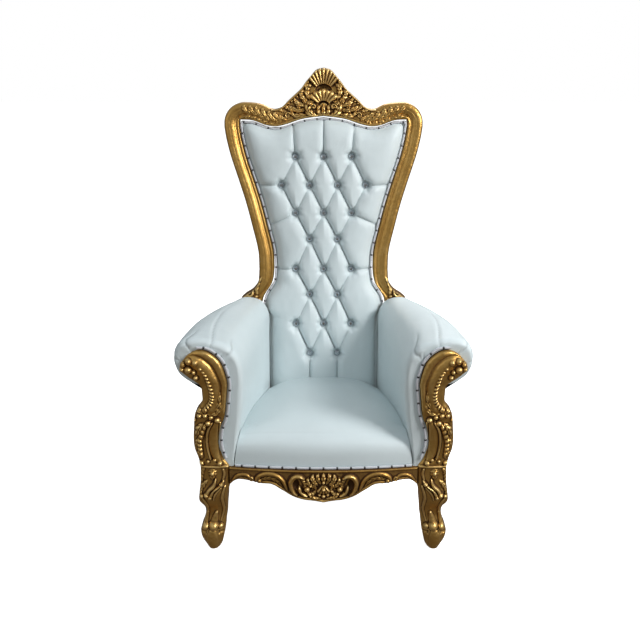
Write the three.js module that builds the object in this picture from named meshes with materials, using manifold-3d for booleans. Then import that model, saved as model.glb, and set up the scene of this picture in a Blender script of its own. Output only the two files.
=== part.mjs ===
// A high-backed throne armchair: gilded carved frame, diamond-tufted back, domed seat and rolled arms.
// Millimetres. +X is the right-hand side seen from the front, +Y runs to the rear and +Z is up.
import * as THREE from "three";
import { mergeVertices } from "three/addons/utils/BufferGeometryUtils.js";
import Module from "manifold-3d";

const wasm = await Module();
wasm.setup();

// Overall sizes of the back frame
const HEIGHT = 1600;
const CREST_RISE = 125;
const CREST_DEPTH = 188;
const SHOULDER_WIDTH = 752;
const WAIST_WIDTH = 500;
const WAIST_HEIGHT = 850;
const FRAME_FACE = 58;
const FRAME_DEPTH = 45;
const CORNER_RADIUS = 76;
const WINDOW_DIP = 25;
const BACK_RAKE_DEG = 8;

// Seat frame
const SEAT_DEPTH = 531;
const RAIL_TOP = 310;
const RAIL_HEIGHT = 60;
const RAIL_THICKNESS = 36;
const RAIL_GAP = 1;
const APRON_BOW = 25;
const APRON_DROP = 120;
const POST_INNER = 317;
const POST_WIDTH = 99;
const POST_DEPTH = 75;
const POST_HEIGHT = 726;
const REAR_LEG_SPREAD = 322;
const REAR_LEG_WIDTH = 52;
const REAR_LEG_SPLAY = 172;

// Upholstery
const SEAT_HEIGHT = 452;
const SEAT_FRONT_HALF = 301;
const SEAT_REAR_HALF = 213;
const ARM_HEIGHT = 757;
const ARM_FRONT_REACH = 487;
const ARM_REAR_REACH = 348;
const ARM_FRONT = 12;
const PAD_CROWN = 36;
const PAD_THICKNESS = 20;
const TUFT_DEPTH = 24;
const TUFT_PITCH = 107;
const BUTTON_RADIUS = 10;
const BUTTON_STEM = 8.5;
const WELT_SIDE = 8.5;

// Carving
const SMALLEST_DETAIL = 1.5;

// Gaps
const CLEARANCE = 0.4;
const WELT_GAP = 3.5;
const EDGE_GAP = 5;

const SHOULDER_HEIGHT = HEIGHT - CREST_RISE;
const WINDOW_TOP = HEIGHT - CREST_DEPTH;
const rake = Math.tan(THREE.MathUtils.degToRad(BACK_RAKE_DEG));
const railBottom = RAIL_TOP - RAIL_HEIGHT;
const postOuter = POST_INNER + POST_WIDTH;
const seatBase = RAIL_TOP + CLEARANCE;
const jointHeight = SHOULDER_HEIGHT - CORNER_RADIUS - 14;

const { clamp, lerp } = THREE.MathUtils;

// The front face of the leaning back frame at height z
const lean = (z) => SEAT_DEPTH + (z - RAIL_TOP) * rake;

// Evenly spaced numbers from a to b, both included
const spread = (a, b, count) => Array.from({ length: count }, (_, i) => lerp(a, b, i / (count - 1)));

// A smooth curve through points [x, y] with rising x: cubic Hermite pieces with the chord slope of each knot's neighbours
function through(points) {
  const last = points.length - 1;
  const slope = (k) => {
    const before = points[Math.max(k - 1, 0)];
    const after = points[Math.min(k + 1, last)];
    return (after[1] - before[1]) / (after[0] - before[0]);
  };
  return (x) => {
    const next = points.findIndex((p) => p[0] >= x);
    const i = next < 0 ? last - 1 : clamp(next - 1, 0, last - 1);
    const width = points[i + 1][0] - points[i][0];
    const t = clamp((x - points[i][0]) / width, 0, 1);
    const rise = points[i + 1][1] - points[i][1];
    const start = slope(i) * width;
    const end = slope(i + 1) * width;
    return points[i][1] + t * start + t * t * (3 * rise - 2 * start - end) + t * t * t * (start + end - 2 * rise);
  };
}

// A closed solid through rings of equal length. Its ends are closed with flat caps.
// Each four-sided patch is split along the diagonal that lies deeper (further to the rear), so that creases stay sharp.
function loft(rings) {
  const count = rings[0].length;
  const points = rings.flat();
  const faces = [];
  for (let i = 0; i + 1 < rings.length; i += 1) {
    for (let j = 0; j < count; j += 1) {
      const a = i * count + j;
      const b = i * count + ((j + 1) % count);
      const [c, d] = [b + count, a + count];
      const crease = points[a].y + points[c].y >= points[b].y + points[d].y;
      faces.push(...(crease ? [[a, b, c], [a, c, d]] : [[a, b, d], [b, c, d]]));
    }
  }
  const cap = (ring, start, flip) => {
    const normal = new THREE.Vector3();
    ring.forEach((p, i) => normal.add(p.clone().cross(ring[(i + 1) % count])));
    const across = ring[1].clone().sub(ring[0]).cross(normal).normalize();
    const along = across.clone().cross(normal).normalize();
    const flat = ring.map((p) => new THREE.Vector2(p.dot(across), p.dot(along)));
    const turned = THREE.ShapeUtils.area(flat) < 0;
    THREE.ShapeUtils.triangulateShape(flat, []).forEach(([a, b, c]) => {
      faces.push(turned === flip ? [start + c, start + b, start + a] : [start + a, start + b, start + c]);
    });
  };
  cap(rings[0], 0, false);
  cap(rings[rings.length - 1], (rings.length - 1) * count, true);
  return solid(points, faces);
}

// A geometry from corners and triangles, with its faces turned outwards
function solid(corners, faces) {
  const volume = faces.reduce((sum, [a, b, c]) => sum + corners[a].dot(corners[b].clone().cross(corners[c])), 0);
  const order = volume < 0 ? ([a, b, c]) => [c, b, a] : (face) => face;
  const geometry = new THREE.BufferGeometry();
  geometry.setFromPoints(corners);
  geometry.setIndex(faces.flatMap(order));
  geometry.computeVertexNormals();
  return geometry;
}

// A carved board: at each station a ring runs across its front from the inner to the outer edge and back behind.
// edges(s) gives the two edge points [x, z]; front(s, t) and back(s, t) give the depths, with t from 0 to 1.
function board({ stations, across, edges, front, back }) {
  const rings = stations.map((s) => {
    const [inner, outer] = edges(s);
    const point = (t, depth) => new THREE.Vector3(lerp(inner[0], outer[0], t), depth, lerp(inner[1], outer[1], t));
    return [...across.map((t) => point(t, front(s, t))), ...[1, 0].map((t) => point(t, back(s, t)))];
  });
  return loft(rings);
}

// The same solid for manifold-3d, and back again
function manifoldOf(geometry) {
  const bare = new THREE.BufferGeometry();
  bare.setAttribute("position", geometry.getAttribute("position"));
  bare.setIndex(geometry.getIndex());
  const merged = mergeVertices(bare, 1e-3);
  return new wasm.Manifold(
    new wasm.Mesh({
      numProp: 3,
      vertProperties: merged.attributes.position.array,
      triVerts: new Uint32Array(merged.index.array),
    }),
  );
}

function geometryOf(body) {
  const mesh = body.getMesh();
  const result = new THREE.BufferGeometry();
  result.setAttribute("position", new THREE.BufferAttribute(new Float32Array(mesh.vertProperties), 3));
  result.setIndex(new THREE.BufferAttribute(new Uint32Array(mesh.triVerts), 1));
  result.computeVertexNormals();
  return result;
}

const cut = (geometry, tool) => geometryOf(manifoldOf(geometry).subtract(manifoldOf(tool)));
// One solid of a piece and its carved motifs. Detail too small to see is merged into its surroundings.
function join(geometry, motifs) {
  const body = motifs.reduce((sum, motif) => sum.add(manifoldOf(motif)), manifoldOf(geometry));
  return geometryOf(body.asOriginal().simplify(SMALLEST_DETAIL));
}

// Carved motifs. They lie half sunk in a face that looks along -Y.

// A raised strand along points on the face, each [point, radius]
function strand(stops) {
  const count = stops.length;
  const rings = stops.map(([point, radius], i) => {
    const along = stops[Math.min(i + 1, count - 1)][0].clone().sub(stops[Math.max(i - 1, 0)][0]);
    const side = new THREE.Vector3(-along.z, 0, along.x).normalize();
    const section = [
      [-1, 0.6],
      [-0.6, -0.85],
      [0.6, -0.85],
      [1, 0.6],
    ];
    return section.map(([across, deep]) =>
      point.clone().addScaledVector(side, across * radius).add(new THREE.Vector3(0, deep * radius, 0)),
    );
  });
  return loft(rings);
}

// A round or leaf-shaped boss
function boss(point, radius, length = radius, turn = 0) {
  const ball = new THREE.SphereGeometry(1, 6, 4);
  return ball.scale(radius, radius, length).rotateY(turn).translate(point.x, point.y, point.z);
}

// A ribbed fan around a centre: ribs run outwards between two radii, from -reach to +reach about its upright
function fan({ centre, inner, outer, reach, ribs, relief, down = false, face }) {
  const angles = spread(-reach, reach, 2 * ribs + 1);
  const rings = angles.map((angle, i) => {
    const ridge = i % 2 ? relief : 0.35 * relief;
    const place = (radius, lift) => {
      const x = centre[0] + radius * Math.sin(angle);
      const z = centre[1] + (down ? -1 : 1) * radius * Math.cos(angle);
      return new THREE.Vector3(x, face(x, z) - lift, z);
    };
    const rim = outer - (i % 2 ? 0 : 0.16 * relief);
    return [
      place(inner, -0.3 * relief),
      place(inner, ridge * 0.7),
      place(lerp(inner, outer, 0.55), ridge),
      place(rim, ridge * 0.5),
      place(rim, -0.3 * relief),
    ];
  });
  return loft(rings);
}

// Outlines of the back frame

// Half the frame's width above the waist, by height: shares of the way from waist to shoulder
const frameSpread = through([
  [0, 0],
  [0.13, 0.025],
  [0.3, 0.19],
  [0.47, 0.375],
  [0.64, 0.6],
  [0.8, 0.82],
  [0.92, 0.945],
  [1, 1],
]);

// Half width of the posts' outer side by height: rear leg, scroll at the waist, then the frame
const lowerOuter = through([
  [0, REAR_LEG_SPREAD],
  [0.08 * WAIST_HEIGHT, REAR_LEG_SPREAD - 4],
  [0.2 * WAIST_HEIGHT, REAR_LEG_SPREAD - 18],
  [RAIL_TOP, REAR_LEG_SPREAD - 20],
  [0.6 * WAIST_HEIGHT, REAR_LEG_SPREAD - 18],
  [0.78 * WAIST_HEIGHT, REAR_LEG_SPREAD - 8],
  [0.86 * WAIST_HEIGHT, REAR_LEG_SPREAD + 2],
  [0.885 * WAIST_HEIGHT, lerp(REAR_LEG_SPREAD, WAIST_WIDTH / 2, 0.25)],
  [0.905 * WAIST_HEIGHT, lerp(REAR_LEG_SPREAD, WAIST_WIDTH / 2, 0.62)],
  [0.94 * WAIST_HEIGHT, WAIST_WIDTH / 2 + 6],
  [WAIST_HEIGHT, WAIST_WIDTH / 2],
]);

const lowerInner = through([
  [0, REAR_LEG_SPREAD - REAR_LEG_WIDTH],
  [0.2 * WAIST_HEIGHT, REAR_LEG_SPREAD - REAR_LEG_WIDTH - 12],
  [RAIL_TOP, REAR_LEG_SPREAD - REAR_LEG_WIDTH - 22],
  [0.76 * WAIST_HEIGHT, REAR_LEG_SPREAD - REAR_LEG_WIDTH - 22],
  [0.87 * WAIST_HEIGHT, REAR_LEG_SPREAD - REAR_LEG_WIDTH - 35],
  [0.94 * WAIST_HEIGHT, WAIST_WIDTH / 2 - FRAME_FACE + 8],
  [WAIST_HEIGHT, WAIST_WIDTH / 2 - FRAME_FACE],
]);

function frameOuter(z) {
  if (z < WAIST_HEIGHT) return lowerOuter(z);
  const share = (z - WAIST_HEIGHT) / (jointHeight - WAIST_HEIGHT);
  return lerp(WAIST_WIDTH, SHOULDER_WIDTH, frameSpread(share)) / 2;
}

const frameInner = (z) => (z < WAIST_HEIGHT ? lowerInner(z) : frameOuter(z) - FRAME_FACE);
const windowHalf = SHOULDER_WIDTH / 2 - FRAME_FACE;

// The crest rail's top edge: a peak at the middle, a dip at each side, then a level shoulder with a round corner
const shoulderStart = SHOULDER_WIDTH / 2 - CORNER_RADIUS;
const crestSlope = through([
  [0, 1],
  [0.09, 0.94],
  [0.157, 0.77],
  [0.226, 0.58],
  [0.278, 0.41],
  [0.355, 0.24],
  [0.44, 0.06],
  [0.525, -0.13],
  [0.64, -0.19],
  [0.77, -0.06],
  [0.9, -0.01],
  [1, 0],
]);

function crestTop(x) {
  const past = (Math.abs(x) - shoulderStart) / CORNER_RADIUS;
  if (past <= 0) return SHOULDER_HEIGHT + CREST_RISE * crestSlope(Math.abs(x) / shoulderStart);
  return SHOULDER_HEIGHT - CORNER_RADIUS + CORNER_RADIUS * Math.sqrt(Math.max(0, 1 - past * past));
}

// The upper edge of the upholstered window: an arch at the middle, a dip at each side, then up to the corners
const windowBow = through([
  [0, 0.5],
  [0.25, 0.08],
  [0.45, -0.72],
  [0.57, -1],
  [0.68, -0.84],
  [0.85, -0.12],
  [1, 0],
]);
const windowEdge = (x) => WINDOW_TOP + WINDOW_DIP * windowBow(Math.abs(x) / windowHalf);

// Face moulding of the frame across its width, from the window (0) to the outer edge (1)
const mouldingShare = through([
  [0, 0],
  [0.1, 0.12],
  [0.24, 0.03],
  [0.42, 0.14],
  [0.7, 0.22],
  [0.9, 0.17],
  [1, 0.02],
]);
const moulding = (t) => FRAME_FACE * mouldingShare(t);

// Crest rail

// Sizes and places are in hundredths of the crest's depth, measured from the peak
const crestUnit = CREST_DEPTH / 100;
const crestFans = [
  { drop: 40.4, inner: 14.4, outer: 36.8, reach: 1.15, ribs: 9, relief: 8 },
  { drop: 69.1, inner: 8, outer: 24.5, reach: 1.2, ribs: 7, relief: 7 },
];

// Leaves and flowers on each slope: [x, drop, radius, length, turn]
const crestBosses = [
  [0, 80.9, 5.3, 9, 0],
  [17.6, 78.7, 5.9, 11.7, 0.75],
  [35.1, 78.7, 5.3, 9.6, -0.3],
  [38.3, 60.1, 5.9, 10.6, 0.7],
  [51.6, 74.5, 5.9, 10.6, 1],
  [50.5, 89.4, 4.8, 8.5, -0.9],
  [68.6, 86.2, 5.3, 10.1, 1.25],
];
const crestBeads = spread(0, 1, 6).map((f) => [lerp(33, 74.5, f), lerp(30.9, 75.5, f) + 3.7 * Math.sin(Math.PI * f), 4.8]);
const LEAF_START = 0.478;
const LEAF_END = 0.943;
const LEAF_LOBES = 5;

// Depth of the crest's moulded face at x and z
function crestFace(x, z) {
  const low = Math.abs(x) < windowHalf ? windowEdge(x) : jointHeight;
  const t = clamp((z - low) / (crestTop(x) - low), 0, 1);
  const upTo = Math.min(crestTop(x) - z, SHOULDER_WIDTH / 2 - Math.abs(x));
  const shape = Math.abs(x) < windowHalf ? moulding(t) : moulding(1 - clamp(upTo / FRAME_FACE, 0, 1));
  const ground = FRAME_FACE * Math.min(0.14, 1.4 * t, 1.4 * (1 - t));
  return lean(z) - lerp(ground, shape, clamp((Math.abs(x) - 0.5 * windowHalf) / (0.1 * windowHalf), 0, 1));
}

function crestCarving() {
  const on = (x, z) => new THREE.Vector3(x, crestFace(x, z), z);
  const both = (x) => (x ? [-1, 1] : [1]);
  const fans = crestFans.map(({ drop, inner, outer, relief, ...rest }) =>
    fan({
      ...rest,
      centre: [0, HEIGHT - drop * crestUnit],
      inner: inner * crestUnit,
      outer: outer * crestUnit,
      relief: relief * crestUnit,
      face: crestFace,
    }),
  );
  const bosses = [...crestBosses, ...crestBeads].flatMap(([x, drop, r, length = r, turn = 0]) =>
    both(x).map((k) =>
      boss(on(k * x * crestUnit, HEIGHT - drop * crestUnit), r * crestUnit, length * crestUnit, k * turn),
    ),
  );
  const leaves = Array.from({ length: LEAF_LOBES }, (_, i) => {
    const x = windowHalf * lerp(LEAF_START, LEAF_END, (i + 0.5) / LEAF_LOBES);
    return both(x).map((k) => boss(on(k * x, windowEdge(x) + 9.6 * crestUnit), 4.8 * crestUnit, 10 * crestUnit, -k * 0.8));
  }).flat();
  return [...fans, ...bosses, ...leaves];
}

function crestRail() {
  const near = [0, 0.11, 0.19, 0.27, 0.36, 0.46].map((u) => u * shoulderStart);
  const far = spread(0.46 * shoulderStart, windowHalf - 1, 9).slice(1);
  const corner = [14, 34, 54, 70].map((deg) => windowHalf + (FRAME_FACE * deg) / 78);
  const half = [...near, ...far, windowHalf + 1, ...corner, SHOULDER_WIDTH / 2 - 0.5];
  const columns = [...half.slice(1).reverse().map((x) => -x), ...half];
  const lower = (x) => (Math.abs(x) < windowHalf ? windowEdge(x) : jointHeight);
  const height = (x, t) => lerp(lower(x), crestTop(x), t);
  const rail = board({
    stations: columns,
    across: [0, 0.1, 0.24, 0.42, 0.7, 0.9, 1],
    edges: (x) => [
      [x, lower(x)],
      [x, crestTop(x)],
    ],
    front: (x, t) => crestFace(x, height(x, t)),
    back: (x, t) => lean(height(x, t)) + FRAME_DEPTH,
  });
  return join(rail, crestCarving());
}

// Back post: the side of the back frame, the scroll at its waist and the raked rear leg, in one length

const EAR_HEIGHT = 0.895 * WAIST_HEIGHT;

// The post is carved where it shows: from 0 behind the arm to 1 above it
const carved = (z) => clamp((z - ARM_HEIGHT + 100) / 70, 0, 1);
const postLeg = [0, 0.13, 0.32, 0.55, 0.77, 1].map((share) => share * RAIL_TOP);
const postLow = [...postLeg, ...[0.52, 0.71, 0.81].map((share) => share * WAIST_HEIGHT)];
const postEar = spread(0.847 * WAIST_HEIGHT, 0.941 * WAIST_HEIGHT, 7);
const postHigh = [0.97 * WAIST_HEIGHT, ...spread(WAIST_HEIGHT, jointHeight - CLEARANCE, 10)];

// The plane of the back post's front: it leans with the back, and below the seat it splays to the rear
const legTop = RAIL_TOP + 20;
const splay = (z) => (z < legTop ? REAR_LEG_SPLAY * Math.pow(1 - z / legTop, 1.5) : 0);
const postPlane = (z) => lean(Math.max(z, 0)) + splay(z);

function backPost() {
  const face = postPlane;
  const post = board({
    stations: [...postLow, ...postEar, ...postHigh],
    across: [0, 0.1, 0.24, 0.42, 0.7, 0.9, 1],
    edges: (z) => [
      [frameInner(z), z],
      [frameOuter(z), z],
    ],
    front: (z, t) => face(z) - moulding(t) * lerp(0.3, 1, carved(z)) + (z < legTop ? 4 : 0),
    back: (z) => face(z) + FRAME_DEPTH + (z < legTop ? 8 : 0),
  });
  const ear = (across, rise, size) => {
    const z = EAR_HEIGHT + rise * FRAME_FACE;
    const x = lerp(frameInner(z), frameOuter(z), across);
    return boss(new THREE.Vector3(x, lean(z) - 0.1 * FRAME_FACE, z), size * FRAME_FACE);
  };
  return join(post, [ear(0.92, 0.1, 0.24), ear(0.85, 0.45, 0.17)]);
}

// Front post: cabriole leg, knee block, and the carved facing that curls over at the arm's top.
// Each row is a station: inner x and z, then outer x and z, as shares of the post's width and height,
// and the depths of its front and back as shares of the post's depth.
const postStations = [
  [0.42, 0.0, 0.85, 0.0, 0.08, 0.75],
  [0.34, 0.025, 0.94, 0.022, -0.03, 0.83],
  [0.28, 0.058, 1.05, 0.058, -0.08, 0.88],
  [0.24, 0.094, 1.08, 0.094, -0.05, 0.91],
  [0.21, 0.127, 0.99, 0.129, 0.08, 0.88],
  [0.16, 0.168, 0.91, 0.171, 0.19, 0.83],
  [0.14, 0.207, 0.94, 0.207, 0.13, 0.85],
  [0.11, 0.251, 1.09, 0.245, -0.03, 0.93],
  [0.09, 0.289, 1.07, 0.287, -0.11, 1],
  [0.0, 0.335, 1.02, 0.337, -0.05, 1],
  [0.0, 0.393, 1.0, 0.393, 0, 1],
  [0.0, 0.432, 0.99, 0.432, 0, 1],
  [0.17, 0.468, 1.05, 0.471, 0.05, 0.77],
  [0.28, 0.521, 1.16, 0.517, 0.08, 0.67],
  [0.3, 0.565, 1.18, 0.565, 0.08, 0.67],
  [0.26, 0.614, 1.15, 0.614, 0.05, 0.67],
  [0.13, 0.661, 1.11, 0.669, 0, 0.67],
  [0.05, 0.705, 1.04, 0.705, 0, 0.67],
  [0.01, 0.751, 0.84, 0.744, 0.03, 0.67],
  [-0.03, 0.799, 0.82, 0.785, 0.03, 0.67],
  [-0.05, 0.84, 0.86, 0.824, 0.03, 0.67],
  [0.01, 0.884, 1.02, 0.846, 0, 0.67],
  [0.14, 0.937, 1.22, 0.865, 0, 0.67],
  [0.35, 0.972, 1.37, 0.882, 0, 0.67],
  [0.62, 0.995, 1.47, 0.895, 0, 0.67],
  [0.92, 0.997, 1.51, 0.909, 0, 0.67],
  [1.2, 0.977, 1.5, 0.923, 0.03, 0.67],
  [1.4, 0.946, 1.47, 0.937, 0.08, 0.67],
];

const postLast = postStations.length - 1;
const [postInX, postInZ, postOutX, postOutZ, postFrontShare, postBackShare] = spread(0, 5, 6).map((k) =>
  through(postStations.map((row, i) => [i, row[k]])),
);
const postFront = (s) => POST_DEPTH * postFrontShare(s);
const postBack = (s) => POST_DEPTH * postBackShare(s);

// The inner and outer edge of the post at station s
const postEdges = (s) => [
  [POST_INNER + postInX(s) * POST_WIDTH, postInZ(s) * POST_HEIGHT],
  [POST_INNER + postOutX(s) * POST_WIDTH, postOutZ(s) * POST_HEIGHT],
];

// A point on the post's face at station s and share t across it
function postPoint(s, t, lift = 0) {
  const [inner, outer] = postEdges(s);
  const round = 0.12 * POST_DEPTH * clamp((Math.abs(2 * t - 1) - 0.7) / 0.3, 0, 1);
  return new THREE.Vector3(lerp(inner[0], outer[0], t), postFront(s) + round - lift, lerp(inner[1], outer[1], t));
}

// Bosses on the post: [station, share across, radius, length, turn], the sizes as shares of the post's width
const postBosses = [
  [1.4, 0.5, 0.16, 0.22, 0],
  [3.1, 0.27, 0.12, 0.14, 0.3],
  [3.1, 0.75, 0.13, 0.14, -0.3],
  [7.3, 0.83, 0.15, 0.15, 0],
  [7.5, 0.45, 0.11, 0.15, 0.6],
  [9.3, 0.5, 0.12, 0.24, 0],
  [11.3, 0.5, 0.13, 0.11, 0],
  [16.5, 0.85, 0.13, 0.12, 0],
  [16.7, 0.5, 0.11, 0.12, 0],
  [16.5, 0.2, 0.1, 0.15, -0.6],
  [25.5, 0.25, 0.12, 0.12, 0],
  [25.6, 0.8, 0.11, 0.11, 0],
];

function postCarving() {
  const line = (stops) => strand(stops.map(([s, t, radius]) => [postPoint(s, t), radius * POST_WIDTH]));
  const lump = (s, t, r, length, turn) => boss(postPoint(s, t), r * POST_WIDTH, length * POST_WIDTH, turn);
  const bosses = postBosses.map((row) => lump(...row));
  const ribs = [0.13, 0.4, 0.65, 0.88].map((t, k) =>
    line(spread(17.6, 26, 9).map((s) => [s, lerp(0.5, t, clamp((s - 16) / 2.5, 0, 1)), k ? 0.08 : 0.1])),
  );
  const oval = spread(0, 2 * Math.PI, 9).map((a) => [13.95 + 1.75 * Math.cos(a), 0.37 + 0.26 * Math.sin(a), 0.06]);
  const rope = spread(12.7, 15.5, 4).map((s) => lump(s, 0.84, 0.1, 0.16, 0.6));
  const block = line(spread(0.04, 0.96, 4).map((t) => [12.05, t, 0.08]));
  const leaf = [-1, 1].map((k) =>
    line([
      [10.6, 0.5 + 0.38 * k, 0.07],
      [9.6, 0.5 + 0.32 * k, 0.1],
      [8.6, 0.5 + 0.28 * k, 0.09],
      [7.6, 0.5 + 0.1 * k, 0.04],
    ]),
  );
  return [...ribs, line(oval), ...rope, block, ...leaf, ...bosses];
}

// The post, or with grow above 0 the room that it needs in the arm
function frontPost(grow) {
  const ends = (s) => {
    const [inner, outer] = postEdges(s);
    const push = grow / Math.hypot(outer[0] - inner[0], outer[1] - inner[1]);
    const beyond = s === postLast ? 2 * grow : 0;
    return [-push, 1 + push].map((t) => [lerp(inner[0], outer[0], t) + beyond, lerp(inner[1], outer[1], t) + beyond]);
  };
  const body = board({
    stations: spread(0, postLast, postLast + 1),
    across: grow ? [0, 1] : [0, 0.15, 0.85, 1],
    edges: ends,
    front: (s, t) => (grow ? postFront(s) - POST_DEPTH : postPoint(s, t).y),
    back: (s) => postBack(s) + grow,
  });
  return grow ? body : join(body, postCarving());
}

// Front apron: a bowed rail with a shaped lower edge, a shell cartouche and scrolls

const apronSpan = POST_INNER - 2 * CLEARANCE;
const apronDepth = through([
  [0, 1],
  [0.1, 0.95],
  [0.2, 0.92],
  [0.32, 0.82],
  [0.45, 0.61],
  [0.55, 0.46],
  [0.65, 0.45],
  [0.8, 0.375],
  [0.9, 0.36],
  [0.96, 0.43],
  [1, 0.55],
]);
const apronFace = (x) => 6 - APRON_BOW * (1 - (x / apronSpan) ** 2);

const apronEdge = (x) => RAIL_TOP - APRON_DROP * apronDepth(Math.abs(x) / apronSpan);

// Scrolls and bosses of the apron's right half: x as a share of its span, all else as shares of its drop.
// Scroll stops are [x, drop, radius]; bosses are [x, drop, radius, length, turn].
const apronScrolls = [
  [[0.961, 0.341, 0.023], [0.904, 0.202, 0.047], [0.816, 0.171, 0.054], [0.759, 0.264, 0.047]],
  [[0.727, 0.295, 0.031], [0.67, 0.163, 0.054], [0.576, 0.124, 0.07], [0.474, 0.209, 0.07], [0.424, 0.357, 0.047]],
  [[0.373, 0.651, 0.031], [0.392, 0.45, 0.062], [0.348, 0.264, 0.07], [0.272, 0.209, 0.062], [0.221, 0.31, 0.054]],
  [[0.291, 0.744, 0.031], [0.31, 0.62, 0.054], [0.266, 0.512, 0.047]],
];
const apronBosses = [
  [0, 0.217, 0.093, 0.085, 0],
  [0.114, 0.217, 0.078, 0.116, 0.7],
  [0.177, 0.403, 0.078, 0.124, -0.5],
  [0.152, 0.713, 0.07, 0.116, -0.8],
  [0.582, 0.264, 0.062, 0.155, 1.4],
];

function apronCarving() {
  const on = (x, drop) => new THREE.Vector3(x * apronSpan, apronFace(x * apronSpan), RAIL_TOP - drop * APRON_DROP);
  const both = (x) => (x ? [-1, 1] : [1]);
  const scrolls = apronScrolls.flatMap((stops) =>
    both(1).map((k) => strand(stops.map(([x, drop, radius]) => [on(k * x, drop), radius * APRON_DROP]))),
  );
  const bosses = apronBosses.flatMap(([x, drop, r, length, turn]) =>
    both(x).map((k) => boss(on(k * x, drop), r * APRON_DROP, length * APRON_DROP, k * turn)),
  );
  const shell = fan({
    centre: [0, RAIL_TOP - 0.33 * APRON_DROP],
    inner: 0.11 * APRON_DROP,
    outer: 0.56 * APRON_DROP,
    reach: 1.1,
    ribs: 7,
    relief: 0.11 * APRON_DROP,
    down: true,
    face: apronFace,
  });
  const rim = strand(spread(-0.97, 0.97, 19).map((u) => {
    const x = u * apronSpan;
    return [new THREE.Vector3(x, apronFace(x), apronEdge(x) + 0.046 * APRON_DROP), 0.046 * APRON_DROP];
  }));
  return [shell, rim, ...scrolls, ...bosses];
}

function frontApron() {
  const half = spread(0, 1, 14);
  const columns = [...half.slice(1).reverse().map((u) => -u), ...half].map((u) => u * apronSpan);
  const rail = board({
    stations: columns,
    across: [0, 0.5, 1],
    edges: (x) => [
      [x, apronEdge(x)],
      [x, RAIL_TOP],
    ],
    front: apronFace,
    back: (x) => apronFace(x) + RAIL_THICKNESS,
  });
  return join(rail, apronCarving());
}

// Plain side and back seat rails

function sideRail() {
  const front = [postOuter - 18, POST_DEPTH + CLEARANCE];
  const rearOuter = frameOuter(RAIL_TOP) - 4;
  const section = [
    [0, RAIL_TOP],
    [0, railBottom + 18],
    [-8, railBottom],
    [-RAIL_THICKNESS, railBottom],
    [-RAIL_THICKNESS, RAIL_TOP],
  ];
  const rear = (z) => postPlane(z) - RAIL_GAP;
  return loft([
    section.map(([dx, z]) => new THREE.Vector3(front[0] + dx, front[1], z)),
    section.map(([dx, z]) => new THREE.Vector3(rearOuter + dx, rear(z), z)),
  ]);
}

function backRail() {
  const start = lean(RAIL_TOP) + 8;
  const top = frameInner(RAIL_TOP) - RAIL_GAP;
  const bottom = frameInner(railBottom) - RAIL_GAP;
  const corners = [
    [top, RAIL_TOP],
    [bottom, railBottom],
    [-bottom, railBottom],
    [-top, RAIL_TOP],
  ];
  return loft([0, RAIL_THICKNESS].map((depth) => corners.map(([x, z]) => new THREE.Vector3(x, start + depth, z))));
}

// Rolled arm: sections run from the inner foot over the roll to the outer foot, front first and rear last.
// Each row: [front x, front z, rear x, rear z].
const armShare = (share) => lerp(seatBase, ARM_HEIGHT, share);
const armPoints = [
  [SEAT_FRONT_HALF + 1, seatBase, SEAT_REAR_HALF + 1, seatBase],
  [SEAT_FRONT_HALF - 12, armShare(0.2), SEAT_REAR_HALF, armShare(0.2)],
  [SEAT_FRONT_HALF - 30, armShare(0.425), SEAT_REAR_HALF, armShare(0.425)],
  [SEAT_FRONT_HALF - 38, armShare(0.65), SEAT_REAR_HALF, armShare(0.65)],
  [SEAT_FRONT_HALF - 29, ARM_HEIGHT - 77, SEAT_REAR_HALF, ARM_HEIGHT - 77],
  [SEAT_FRONT_HALF + 5, ARM_HEIGHT - 28, SEAT_REAR_HALF + 20, ARM_HEIGHT - 30],
  [SEAT_FRONT_HALF + 54, ARM_HEIGHT - 6, SEAT_REAR_HALF + 50, ARM_HEIGHT - 12],
  [ARM_FRONT_REACH - 70, ARM_HEIGHT + 2, ARM_REAR_REACH - 45, ARM_HEIGHT - 8],
  [ARM_FRONT_REACH - 20, ARM_HEIGHT - 13, ARM_REAR_REACH - 14, ARM_HEIGHT - 20],
  [ARM_FRONT_REACH + 1, ARM_HEIGHT - 56, ARM_REAR_REACH, ARM_HEIGHT - 52],
  [ARM_FRONT_REACH - 9, ARM_HEIGHT - 107, ARM_REAR_REACH - 4, ARM_HEIGHT - 88],
  [ARM_FRONT_REACH - 42, ARM_HEIGHT - 133, ARM_REAR_REACH - 20, ARM_HEIGHT - 108],
  [postOuter - 16, ARM_HEIGHT - 150, ARM_REAR_REACH - 34, ARM_HEIGHT - 122],
  [postOuter - 28, armShare(0.51), frameOuter(RAIL_TOP) - 6, armShare(0.51)],
  [postOuter - 28, armShare(0.27), frameOuter(RAIL_TOP) - 6, armShare(0.27)],
  [postOuter - 28, seatBase, frameOuter(RAIL_TOP) - 6, seatBase],
];

// How far the arm swells between its ends: the roll stays full past the middle of its length
const armSwell = (v) => v - 0.21 * Math.sin(Math.PI * v);
const armRear = (z) => lean(z) - lerp(6, 25, carved(z));

function arm() {
  const centre = [postOuter - 0.6 * POST_WIDTH, 0.74 * ARM_HEIGHT];
  const depths = [0, 0.012, 0.03, 0.06, 0.16, 0.32, 0.5, 0.68, 0.84, 1];
  const inset = through([
    [0, 20],
    [0.012, 9],
    [0.03, 3],
    [0.06, 0],
    [1, 0],
  ]);
  const rings = depths.map((v) =>
    armPoints.map(([fx, fz, rx, rz]) => {
      const share = armSwell(v);
      const x = lerp(fx, rx, share);
      const z = lerp(fz, rz, share);
      const reach = Math.hypot(x - centre[0], z - centre[1]);
      const pull = z > seatBase + 1 ? inset(v) / reach : 0;
      const height = lerp(z, centre[1], pull);
      return new THREE.Vector3(lerp(x, centre[0], pull), lerp(ARM_FRONT, armRear(height), v), height);
    }),
  );
  return cut(loft(rings), frontPost(2 * CLEARANCE));
}

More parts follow.
